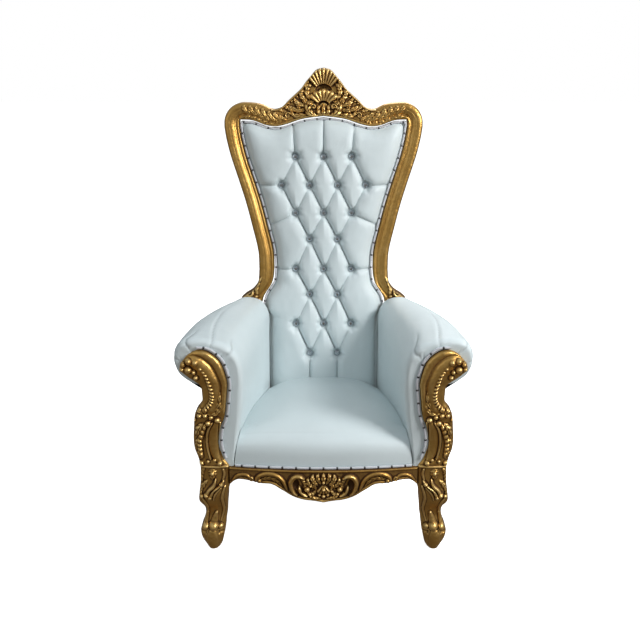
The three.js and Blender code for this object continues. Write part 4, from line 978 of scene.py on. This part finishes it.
ARM_LENGTH, ARM_ROUND = 520.0, 26
ARM_SIDE_FRONT, ARM_SIDE_REAR = POST_OUTER - 28, 296
low_part, mid_part, high_part = (mix(SEAT_BASE, ARM_HEIGHT, f) for f in (0.2, 0.425, 0.65))
ARM_TABLE = np.array([
    [SEAT_FRONT_HALF + 1, SEAT_BASE, SEAT_REAR_HALF + 1, SEAT_BASE],
    [SEAT_FRONT_HALF - 12, low_part, SEAT_REAR_HALF, low_part],
    [SEAT_FRONT_HALF - 30, mid_part, SEAT_REAR_HALF, mid_part],
    [SEAT_FRONT_HALF - 38, high_part, SEAT_REAR_HALF, high_part],
    [SEAT_FRONT_HALF - 29, ARM_HEIGHT - 77, SEAT_REAR_HALF, ARM_HEIGHT - 77],
    [SEAT_FRONT_HALF + 5, ARM_HEIGHT - 28, SEAT_REAR_HALF + 20, ARM_HEIGHT - 30],
    [SEAT_FRONT_HALF + 54, ARM_HEIGHT - 6, SEAT_REAR_HALF + 50, ARM_HEIGHT - 12],
    [ARM_FRONT_REACH - 70, ARM_HEIGHT + 2, ARM_REAR_REACH - 45, ARM_HEIGHT - 8],
    [ARM_FRONT_REACH - 20, ARM_HEIGHT - 13, ARM_REAR_REACH - 14, ARM_HEIGHT - 20],
    [ARM_FRONT_REACH + 1, ARM_HEIGHT - 56, ARM_REAR_REACH, ARM_HEIGHT - 52],
    [ARM_FRONT_REACH - 9, ARM_HEIGHT - 107, ARM_REAR_REACH - 4, ARM_HEIGHT - 88],
    [ARM_FRONT_REACH - 42, ARM_HEIGHT - 133, ARM_REAR_REACH - 20, ARM_HEIGHT - 108],
    [POST_OUTER - 16, ARM_HEIGHT - 150, ARM_REAR_REACH - 34, ARM_HEIGHT - 122],
    *([ARM_SIDE_FRONT, height, ARM_SIDE_REAR, height] for height in (540, 430, SEAT_BASE)),
], float)


def arm_swell(v):
    """The roll stays full past the middle of its length: v - 0.21 sin(pi v)."""
    return v - 0.21 * np.sin(math.pi * v)


def arm_rear(z):
    """The depth of the arm's rear end, just in front of the stile."""
    return lean(z) - mix(6, 25, carved_share(z))


def arm_points():
    """The grid of the right arm: stations from front to rear, and points round each section."""
    section = smooth_line(ARM_TABLE, 14)
    base = np.linspace(section[-1], section[0], 12)[1:-1]
    ring = np.vstack([section, base])
    round_steps = ARM_ROUND * (1 - np.cos(np.linspace(0, math.pi / 2, 10)))
    depth = np.concatenate([round_steps, steps(30, ARM_LENGTH, 5)])
    v = (depth / ARM_LENGTH)[:, None]
    swell = arm_swell(v)
    x, z = mix(ring[:, 0], ring[:, 2], swell), mix(ring[:, 1], ring[:, 3], swell)
    centre = (POST_OUTER - 0.6 * POST_WIDTH, 0.74 * ARM_HEIGHT)
    inset = 20 * (1 - np.sqrt(1 - np.clip(1 - depth / ARM_ROUND, 0, 1) ** 2))[:, None]
    pull = np.where(z > SEAT_BASE + 1, inset / np.hypot(x - centre[0], z - centre[1]), 0)
    x, z = mix(x, centre[0], pull), mix(z, centre[1], pull)
    points = np.stack([x, mix(ARM_FRONT, arm_rear(z), v), z], -1)
    # Each end closes towards its middle in a few more rings
    shrink = np.linspace(0.97, 0.03, 12)[::-1][:, None, None]
    middle = np.array([centre[0], ARM_FRONT, centre[1]])
    front = mix(middle, points[0], shrink)
    rear = mix(points[-1].mean(0), points[-1], np.linspace(0.97, 0.03, 6)[:, None, None])
    depths = np.concatenate([np.zeros(len(front)), depth, np.full(len(rear), ARM_LENGTH)])
    return np.concatenate([front, points, rear]), depths


def arm_relief(points, depth, folds):
    """Fullness along the padding, the folds, and soft unevenness. A fold starts at the front of the roll at
    one angle about the roll's middle and ends at another, after its reach. It is a sharp line between soft
    puffs: exp(-d) less a wider bell."""
    x, z = points[..., 0], points[..., 2]
    v = np.clip(depth / ARM_LENGTH, 0, 1)[:, None]
    roll = ramp(z, ARM_HEIGHT - 170, ARM_HEIGHT - 120)
    middle = mix(ARM_FRONT_REACH - 95, ARM_REAR_REACH - 62, arm_swell(v))
    angle = np.arctan2(z - (ARM_HEIGHT - 75), x - middle)
    lift = 3 * np.sin(math.pi * v) * roll
    relief = np.zeros(x.shape)
    for start, end, reach, deep in folds:
        share = np.clip(depth / reach, 0, 1)[:, None]
        off = np.abs(angle - mix(start, end, 1 - (1 - share) ** 2)) * 80
        fade = (1 - share**2) * roll
        relief -= fade * deep * np.exp(-off / 2.6)
        relief += fade * 0.22 * deep * np.exp(-(((off - 14) / 10) ** 2))
    soft = 1.3 * bumps(points[..., 1], x + z, 85, 11) + 0.5 * bumps(points[..., 1], x + z, 30, 12)
    end = ramp(depth, ARM_LENGTH - 20, ARM_LENGTH)[:, None]
    # The second value, a third of the folds' depth, is painted shade along the folds
    return lift + relief + soft * ramp(depth, 0, 40)[:, None] * (1 - end), relief / 3


arm_grid, arm_depth = arm_points()
# Each fold: angle at the front and at its end, reach, depth
folds = {
    "_right": [(1.87, 1.1, 460, 2.8), (2.9, 2.45, 130, 4.2), (0.62, 0.85, 85, 3), (0.0, 0.2, 60, 2.4)],
    "_left": [(2.05, 1.4, 460, 2.8), (2.85, 2.6, 90, 3.4), (0.86, 1.15, 105, 4), (0.1, 0.3, 60, 2.4)],
}
for side, sign in (("_right", 1), ("_left", -1)):
    arm_lift, arm_fold_shade = arm_relief(arm_grid, arm_depth, folds[side])
    arm_lift[arm_grid[..., 2] < SEAT_BASE + 6] = 0
    turned = pushed(arm_grid, arm_lift) * (sign, 1, 1)
    cover = run("arm_cover" + side, turned, LEATHER, ["arm" + side], arm_fold_shade)

# %% [markdown]
# ## Seat
# The seat is a tight dome between the arms. Its height rises steeply behind the front edge and falls again
# towards the arms and the back, where the cover is pulled down.

# %% Seat
inner_front = through(ARM_TABLE[:5, [1, 0]])
inner_rear = through(ARM_TABLE[:5, [3, 2]])


def arm_inner(y, z):
    """The half width between the arms at depth y and height z."""
    v = np.clip((y - ARM_FRONT) / (arm_rear(z) - ARM_FRONT), 0, 1)
    return mix(inner_front(z), inner_rear(z), arm_swell(v))


seat_crown = through([[0, 0], [0.02, 0.34], [0.06, 0.62], [0.13, 0.84], [0.25, 0.97], [0.45, 1],
                      [0.75, 0.95], [1, 0.88]])


def seat_points():
    """The grid of the seat: rows from front to rear, each over the dome and back along the flat base."""
    v = np.concatenate([np.linspace(0, 0.12, 26), steps(0.13, 1, 0.012)])[:, None]
    t = np.sin(np.linspace(-math.pi / 2, math.pi / 2, 111))
    top = (SEAT_HEIGHT - SEAT_BASE) * mix(0.03, 1, seat_crown(v))
    side = top * mix(1, 0.62, np.clip(4 * v, 0, 1))
    height = mix(top, side, np.abs(t) ** 3)
    soft = 1.2 * bumps(t * 260, v * 500, 95, 21) + 0.5 * bumps(t * 260, v * 500, 34, 22)
    height = height + soft * ramp(v, 0.02, 0.2) * (1 - t**4)
    rear = lean(SEAT_BASE + height) + 8 - PAD_CROWN - 2
    # Just behind its front edge the cover bulges forwards over the trim
    over = 9 * np.sin(math.pi * np.clip(v / 0.09, 0, 1)) ** 0.8
    y = mix(apron_plane(t * SEAT_FRONT_HALF) + WELT_SIDE + 3, rear, v) - over
    x = t * (arm_inner(y, SEAT_BASE + height) - 1)
    dome = np.stack([x, y, SEAT_BASE + height], -1)
    flat = dome[:, ::-8].copy()
    flat[..., 2] = SEAT_BASE
    return np.concatenate([dome, flat], 1)


seat_cover = run("seat_cover", seat_points(), LEATHER, ["seat_pad"], sharp=75)

# %% [markdown]
# ## Tufted back
# Tufting pulls the cover down at every button and folds the spare leather into straight pleats between them.
# So the padding's height falls with the distance to the nearest pleat, like the side of a pillow, and falls
# again close to a button. Long pleats run from the outer buttons to the frame, the crest and the seat.

# %% Tufted back
# Each row of buttons: its height as a share of the window, and how many
TUFT_ROWS = [[0.195, 2], [0.301, 3], [0.404, 2], [0.493, 3], [0.597, 2], [0.687, 3], [0.781, 4], [0.877, 3]]
PLEAT_DEPTH, MARK_DEPTH, DIMPLE_DEPTH, RIPPLE_DEPTH = 22, 2.5, 10, 1.2


def row_height(share):
    """The height of a row of buttons, given as a share of the window."""
    return mix(RAIL_TOP, WINDOW_TOP, share)


def pad_half(z):
    """The pad's half width: the space between the arms, and above them the inside of the frame."""
    beside = 24 * ramp(z, ARM_HEIGHT - 95, ARM_HEIGHT - 55)
    above = 2 * np.maximum(0, z - ARM_HEIGHT + 12)
    free = SEAT_REAR_HALF - 2 + beside + above
    return np.minimum(free, frame_inner(np.minimum(z, JOINT_HEIGHT)) - EDGE_GAP)


button_places = [((i - (count - 1) / 2) * TUFT_PITCH, row_height(share))
                 for share, count in TUFT_ROWS for i in range(count)]
half_pitch = TUFT_PITCH / 2
pleats = [(x, z, u, w) for i, (x, z) in enumerate(button_places) for u, w in button_places[i + 1:]
          if abs(abs(u - x) - half_pitch) < 1 and w - z < 0.12 * (WINDOW_TOP - RAIL_TOP)]
low_row, high_row = row_height(TUFT_ROWS[0][0]), row_height(TUFT_ROWS[7][0])
long_pleats = [(k * half_pitch, low_row, k * half_pitch, RAIL_TOP) for k in (-1, 1)]
long_pleats += [(k * TUFT_PITCH, high_row, 1.1 * k * TUFT_PITCH, WINDOW_TOP) for k in (-1, 0, 1)]
for row, start, end, fall in ((6, 1.5, 1, 0), (5, 1, 0.74, 0.056), (3, 1, 0.68, 0)):
    share = TUFT_ROWS[row][0]
    for k in (-1, 1):
        long_pleats.append((k * start * TUFT_PITCH, row_height(share),
                            k * end * WINDOW_HALF, row_height(share - fall)))


def from_line(line, x, z):
    """The distance of points from a line between two points, and the share of it where each is nearest."""
    ax, az, bx, bz = line
    share = np.clip(((x - ax) * (bx - ax) + (z - az) * (bz - az)) / ((bx - ax) ** 2 + (bz - az) ** 2), 0, 1)
    return np.hypot(x - mix(ax, bx, share), z - mix(az, bz, share)), share


def pillow(distance, width):
    """1 on the pleat and 0 a width away, with the side of a pillow between: 1 - root(1 - (1 - d/w)^2)."""
    return 1 - np.sqrt(1 - np.clip(1 - distance / width, 0, 1) ** 2)


def tufting(x, z):
    """How deep the cover is drawn in at each point, and how much of that is a sharp line. The pleats that run
    down to the right fold over: their upper side stands higher than their lower side."""
    crease = np.zeros(x.shape)
    line_mark = np.zeros(x.shape)
    fold = np.zeros(x.shape)
    for ax, az, bx, bz in pleats:
        distance, share = from_line((ax, az, bx, bz), x, z)
        falls = (bx - ax) * (bz - az) < 0
        crease = np.maximum(crease, pillow(distance, 44) if falls else 0.8 * pillow(distance, 50))
        side = np.sign((x - ax) * (bz - az) - (z - az) * (bx - ax))
        near = np.exp(-distance / (7 if falls else 12)) * np.sin(math.pi * np.clip(share, 0.02, 0.98))
        fold += (4.8 if falls else 1.0) * side * near
        line_mark = np.maximum(line_mark, (1.0 if falls else 0.15) * np.exp(-distance / 3))
    for line in long_pleats:
        distance, share = from_line(line, x, z)
        crease = np.maximum(crease, (0.75 - 0.35 * share) * pillow(distance, 28))
        line_mark = np.maximum(line_mark, 0.9 * np.exp(-distance / 2.5))
    near = np.full(x.shape, 1e3)
    ripple = np.zeros(x.shape)
    for i, (bx, bz) in enumerate(button_places):
        r = np.hypot(x - bx, z - bz)
        near = np.minimum(near, r)
        ripple += np.exp(-(((r - 22) / 12) ** 2)) * np.cos(7 * np.arctan2(x - bx, z - bz) + i)
    dimple = np.exp(-((np.maximum(near - BUTTON_RADIUS, 0) / 15) ** 2))
    crease = mix(crease, 0.92, np.exp(-((np.maximum(near - BUTTON_RADIUS - 2, 0) / 7) ** 2)))
    free = ramp(near, BUTTON_RADIUS, BUTTON_RADIUS + 14)
    drawn = PLEAT_DEPTH * crease + MARK_DEPTH * line_mark * free + DIMPLE_DEPTH * dimple
    return drawn + (RIPPLE_DEPTH * ripple + fold) * free, line_mark * free


def pad_face(x, z, inset):
    """The depth of the padded face: it swells from its edges and is drawn in by the tufting."""
    swell = (PAD_CROWN + 5) * (1 - np.exp(-np.maximum(0, inset - 6) / 24))
    sink, marks = tufting(x, z)
    soft = 1.1 * bumps(x, z, 60, 31) + 0.5 * bumps(x, z, 22, 32)
    return lean(z) + 8 - swell + np.minimum(sink + soft, swell), marks


def pad_points():
    """The grid of the pad: rows from the seat up to the shaped upper edge, with a plain back. The distance
    to the edge is the softened least of two, -s log(exp(-a/s) + exp(-b/s)) with s the softness, so that no
    ridge shows between."""
    softness = 14
    base = steps(SEAT_BASE, WINDOW_TOP, 3.0)[:, None]
    t = np.linspace(-1, 1, 205)
    half = pad_half(base)
    x = t * half
    rise = ramp(base, row_height(0.8), WINDOW_TOP)
    z = base + rise * (window_edge(x) - EDGE_GAP - WINDOW_TOP)
    past_side, past_top = np.abs(x) - half, z - window_edge(x)
    inset = -softness * np.log(np.exp(past_side / softness) + np.exp(past_top / softness))
    y, marks = pad_face(x, z, inset)
    low = np.minimum(z[:, :1], WINDOW_TOP - WINDOW_DIP - EDGE_GAP)
    ends = np.concatenate([half, -half], 1)
    behind = np.stack([ends, lean(low) + PAD_THICKNESS + 0 * ends, low + 0 * ends], -1)
    # Painted shade: the tufting's sharp crease lines are darkened
    dark = np.concatenate([-0.7 * marks, 0 * ends], 1)
    return np.concatenate([np.stack([x, y, z], -1), behind], 1), dark


pad_grid, pad_crease_shade = pad_points()
pad_cover = run("back_cover", pad_grid, LEATHER, ["back_pad"], pad_crease_shade, 80)

# %% [markdown]
# ## Outside back
# The rear of the back is closed with plain leather, stretched over the frame with a slight swell. It is drawn
# in a little at each nail along its edge.

# %% Outside back
def outside_points():
    """The grid of the rear panel: a flat front, and a crowned rear that puckers at its edge. The gap beside
    it closes towards the foot, where light would show through."""
    base = steps(SEAT_BASE, WINDOW_TOP, 5)[:, None]
    t = np.linspace(-1, 1, 121)
    gap = mix(CLEARANCE, EDGE_GAP, ramp(base, RAIL_TOP + 30, RAIL_TOP + 90))
    half = frame_inner(np.minimum(base, JOINT_HEIGHT)) - gap
    x = t * half
    z = base + ramp(base, row_height(0.85), WINDOW_TOP) * (window_edge(x) - EDGE_GAP - WINDOW_TOP)
    share = (base - RAIL_TOP) / (WINDOW_TOP - RAIL_TOP)
    crown = 8 * (1 - t**4) * (1 - np.clip(2 * share - 1, -1, 1) ** 6)
    pucker = 0.9 * np.cos(2 * math.pi * base / 45) * np.exp(-(half - np.abs(x)) / 16)
    soft = 0.8 * bumps(x, z, 90, 41) + 0.3 * bumps(x, z, 30, 42)
    y = lean(z) + FRAME_DEPTH - 4 + crown + (pucker + soft) * ramp(half - np.abs(x), 0, 6)
    low = np.minimum(z[:, :1], WINDOW_TOP - WINDOW_DIP - EDGE_GAP)
    ends = np.concatenate([half, -half], 1)
    front = np.stack([ends, lean(low) + PAD_THICKNESS + CLEARANCE + 0 * ends, low + 0 * ends], -1)
    return np.concatenate([np.stack([x, y, z], -1), front], 1)


outside_grid = outside_points()
outside = run("outside_back_cover", outside_grid, LEATHER, ["outside_back"], sharp=75)

# %% [markdown]
# ## Trim and nails
# A strip of leather hides the tacks where the cover meets the wood. It is nailed down every few centimetres
# and bulges between the nails. A tube whose radius is pinched at each nail gives that, and each nail head is
# a small dome of metal.

# %% Trim and nails
def evenly(path, gap):
    """Points evenly spaced along a path, about gap apart, and the distance of each from the start."""
    length = np.concatenate([[0], np.cumsum(np.linalg.norm(np.diff(path, axis=0), axis=1))])
    at = np.linspace(0, length[-1], 2 + int(length[-1] / gap))
    return np.stack([np.interp(at, length, path[:, k]) for k in range(3)], -1), at


def trim(name, path, nodes, pitch, width=4.6, depth=3.8):
    """A padded strip along a path, pinched by a nail every pitch: an oval tube whose size falls to 60% close
    to a nail. Returns the place and direction of each nail."""
    forwards = np.array([0, -1.0, 0])
    line, at = evenly(smooth_line(path, 14), 2.0)
    count = max(2, round(at[-1] / pitch))
    gap = at[-1] / count
    to_nail = np.abs(gap / 2 - np.abs(at % gap))
    size = 1 - 0.34 * np.exp(-((to_nail / 3.2) ** 2)) - 0.06 * np.exp(-((to_nail / 11) ** 2))
    along = np.gradient(line, axis=0)
    along /= np.linalg.norm(along, axis=1, keepdims=True)
    out = forwards - (along @ forwards)[:, None] * along
    out /= np.linalg.norm(out, axis=1, keepdims=True)
    side = np.cross(along, out)
    turn = np.linspace(0, 2 * math.pi, 15)[:-1]
    ring = (line[:, None] + side[:, None] * (width * size[:, None] * np.cos(turn))[..., None]
            + out[:, None] * (depth * size[:, None] * np.sin(turn))[..., None])
    # Painted shade: the strip is darkened where each nail pinches it
    dark = -0.7 * np.exp(-((to_nail / 2.5) ** 2))[:, None] + 0 * turn
    run(name, ring, TRIM, nodes, dark)
    nails = [int(np.argmin(np.abs(at - (k + 0.5) * gap))) for k in range(count)]
    return [(line[k] + out[k] * depth * 0.45, out[k]) for k in nails]


def nail_heads(name, places, radius=4.8):
    """Low domes at the given places, each with its axis along its own direction: rings at four levels."""
    points, faces = [], []
    turn = np.linspace(0, 2 * math.pi, 9)[:-1]
    for centre, axis in places:
        axis = np.array(axis) / np.linalg.norm(axis)
        first = np.cross(axis, (0.31, 0.2, 0.93))
        first /= np.linalg.norm(first)
        second = np.cross(axis, first)
        spokes = np.cos(turn)[:, None] * first + np.sin(turn)[:, None] * second
        start = len(points)
        for reach, lift in ((1, -1.2), (1, 0.2), (0.62, 1.5), (0.18, 2.0)):
            points.extend(centre + radius * reach * spokes + axis * lift)
        faces += [[start + k for k in face] for face in closed_grid(4, 8)]
    return piece(name, points, faces, NAIL, sharp=50)


inset = WELT_SIDE / 2 + WELT_GAP
half = SEAT_FRONT_HALF - 5
seat_path = [[x, float(apron_plane(x)) + WELT_SIDE / 2 + 1, SEAT_BASE + WELT_SIDE / 2]
             for x in np.linspace(-half, half, 9)]
nails = trim("seat_trim", seat_path, ["seat_welt"], 46)
low_z, high_z = 0.83 * WAIST_HEIGHT, JOINT_HEIGHT - 12
side_path = [[float(frame_inner(z)) - inset, z] for z in np.linspace(low_z, high_z, 15)]
top_path = [[share * WINDOW_HALF, float(window_edge(share * WINDOW_HALF)) - inset]
            for share in (0.86, 0.7, 0.56, 0.42, 0.25, 0.1)]
corner = [[WINDOW_HALF - inset - 2, WINDOW_TOP - inset - 4]]
half_path = side_path + corner + top_path
back_path = [[x, float(lean(z)) - 0.5, z] for x, z in half_path + [[-x, z] for x, z in half_path[::-1]]]
nails += trim("back_trim", back_path, ["back_welt"], 48, 3.9, 3.6)
rim = np.stack([POST_INNER + POST_WIDTH * post_table[12:26, 0], POST_HEIGHT * post_table[12:26, 1]], -1)
direction = np.gradient(rim, axis=0)
direction /= np.linalg.norm(direction, axis=1, keepdims=True)
for side, sign in (("_right", 1), ("_left", -1)):
    path = [[sign * (x - dz * inset), ARM_FRONT - WELT_SIDE / 2 - CLEARANCE, z + dx * inset]
            for (x, z), (dx, dz) in zip(rim, direction)]
    nails += trim("arm_trim" + side, path, ["arm_welt" + side], 46)
# The rear panel has a row of nails near each side
in_from_side = (outside_grid.shape[1] - 2) // 40
rows = range(5, len(outside_grid) - 5, 9)
nails += [(outside_grid[k, j], (0, 1, 0)) for k in rows for j in (in_from_side, -3 - in_from_side)]
nail_heads("nails", nails)

# %% [markdown]
# ## Buttons
# Each button is cut glass in a thin metal cup. The glass has a flat table, eight crown facets and a girdle,
# with flat faces so that each facet catches its own light.

# %% Buttons
BUTTON_RINGS = ((0.3, -6), (1.05, -0.5), (1.22, 0.8), (1.18, 2.2), (0.86, 5.2), (0.5, 6.8))
BUTTON_SINK = 3.0


def button(name, x, z, face, node):
    """One cut-glass button, its axis forwards: rings of eight points, each turned half a step. A ring is
    given by its share of the radius and its height."""
    rings = []
    for k, (reach, lift) in enumerate(BUTTON_RINGS):
        turn = np.linspace(0, 2 * math.pi, 9)[:-1] + (k % 2) * math.pi / 8
        rings.append(np.stack([x + BUTTON_RADIUS * reach * np.cos(turn), face - lift + 0 * turn,
                               z + BUTTON_RADIUS * reach * np.sin(turn)], -1))
    return run(name, rings, GLASS, [node], sharp=1)


for i, (x, z) in enumerate(button_places):
    there = np.array([[float(x)]]), np.array([[float(z)]])
    edge = min(float(pad_half(z)) - abs(x), float(window_edge(x)) - z)
    depth = float(pad_face(*there, np.array([[edge]]))[0][0, 0])
    button(f"glass_button_{i + 1}", x, z, depth - BUTTON_SINK, f"button_{i + 1}")

# %% [markdown]
# ## Floor, light and camera
# The chair stands on a pale floor that fades into a white background. A soft light stands high at the front
# right, a weak one at the left, and one behind lifts the edges. The camera is at eye height and looks down
# about 17 degrees.

# %% Floor, light and camera
def pale_floor():
    """A wide flat floor, lifted to white by a little light of its own. Only the camera sees it, so that its
    glow doesn't wash out the shade under the chair."""
    paper = Shader("pale_floor")
    cloud = paper.noise(paper.place(), 1.5, 2.0)
    paper.set(Base_Color=paper.blend(cloud, (0.90, 0.90, 0.90, 1), (0.93, 0.93, 0.93, 1)), Roughness=0.9)
    paper.set(Emission_Color=(1, 1, 1, 1), Emission_Strength=0.9)
    mesh = bpy.data.meshes.new("floor")
    side = 60.0
    corners = [(-side, -side, 0), (side, -side, 0), (side, side, 0), (-side, side, 0)]
    mesh.from_pydata(corners, [], [(0, 1, 2, 3)])
    mesh.materials.append(paper.material)
    floor = bpy.data.objects.new("floor", mesh)
    floor.visible_diffuse = floor.visible_glossy = False
    bpy.context.collection.objects.link(floor)


def studio():
    """Soft light from all round, brighter from above than from below. The camera sees plain white."""
    world = bpy.data.worlds.new("studio")
    world.use_nodes = True
    tree = world.node_tree
    surface = tree.nodes["Background"]
    where = tree.nodes.new("ShaderNodeTexCoord")
    parts = tree.nodes.new("ShaderNodeSeparateXYZ")
    shade = tree.nodes.new("ShaderNodeValToRGB")
    sight = tree.nodes.new("ShaderNodeLightPath")
    choose = tree.nodes.new("ShaderNodeMix")
    choose.data_type = "RGBA"
    stops = ((0.35, (0.17, 0.15, 0.13, 1)), (0.85, (0.43, 0.47, 0.495, 1)))
    for element, (place, colour) in zip(shade.color_ramp.elements, stops):
        element.position = place
        element.color = colour
    lift = tree.nodes.new("ShaderNodeMath")
    lift.operation = "MULTIPLY_ADD"
    lift.inputs[1].default_value = lift.inputs[2].default_value = 0.5
    tree.links.new(where.outputs["Generated"], parts.inputs[0])
    tree.links.new(parts.outputs["Z"], lift.inputs[0])
    tree.links.new(lift.outputs[0], shade.inputs[0])
    tree.links.new(sight.outputs["Is Camera Ray"], choose.inputs[0])
    tree.links.new(shade.outputs[0], choose.inputs[6])
    choose.inputs[7].default_value = (1, 1, 1, 1)
    tree.links.new(choose.outputs[2], surface.inputs["Color"])
    bpy.context.scene.world = world


def softbox(name, place, aim, size, power):
    """A square area light that faces a point."""
    light = bpy.data.lights.new(name, "AREA")
    light.size, light.energy = size, power
    lamp = bpy.data.objects.new(name, light)
    lamp.location = place
    to = np.array(aim, float) - place
    lamp.rotation_euler = (math.acos(to[2] / -np.linalg.norm(to)), 0, math.atan2(-to[0], to[1]))
    bpy.context.collection.objects.link(lamp)


pale_floor()
studio()
softbox("key", (3.0, -1.7, 2.9), (0, 0, 0.8), 1.2, 128)
softbox("fill", (-2.4, -2.2, 2.4), (0, 0, 0.9), 1.5, 8)
softbox("rim", (0.6, 2.4, 2.8), (0, 0, 1.0), 1.6, 30)
bpy.context.scene.view_settings.view_transform = "Standard"

# The picture is PICTURE pixels wide, and the chair's middle is at column MIDDLE_COLUMN of it
PICTURE, MIDDLE_COLUMN, FOCAL_PIXELS, SENSOR = 640, 323.5, 792, 36
EYE_HEIGHT, EYE_DISTANCE, EYE_TILT = 1.55, 2.4, 16.76
camera = bpy.data.cameras.new("camera")
camera.sensor_width = SENSOR
camera.lens = FOCAL_PIXELS * SENSOR / PICTURE
camera.shift_x = -(MIDDLE_COLUMN - PICTURE / 2) / PICTURE
viewer = bpy.data.objects.new("camera", camera)
viewer.location = (0, FRONT_PLANE - EYE_DISTANCE, EYE_HEIGHT)
viewer.rotation_euler = (math.radians(90 - EYE_TILT), 0, 0)
bpy.context.collection.objects.link(viewer)
bpy.context.scene.camera = viewer
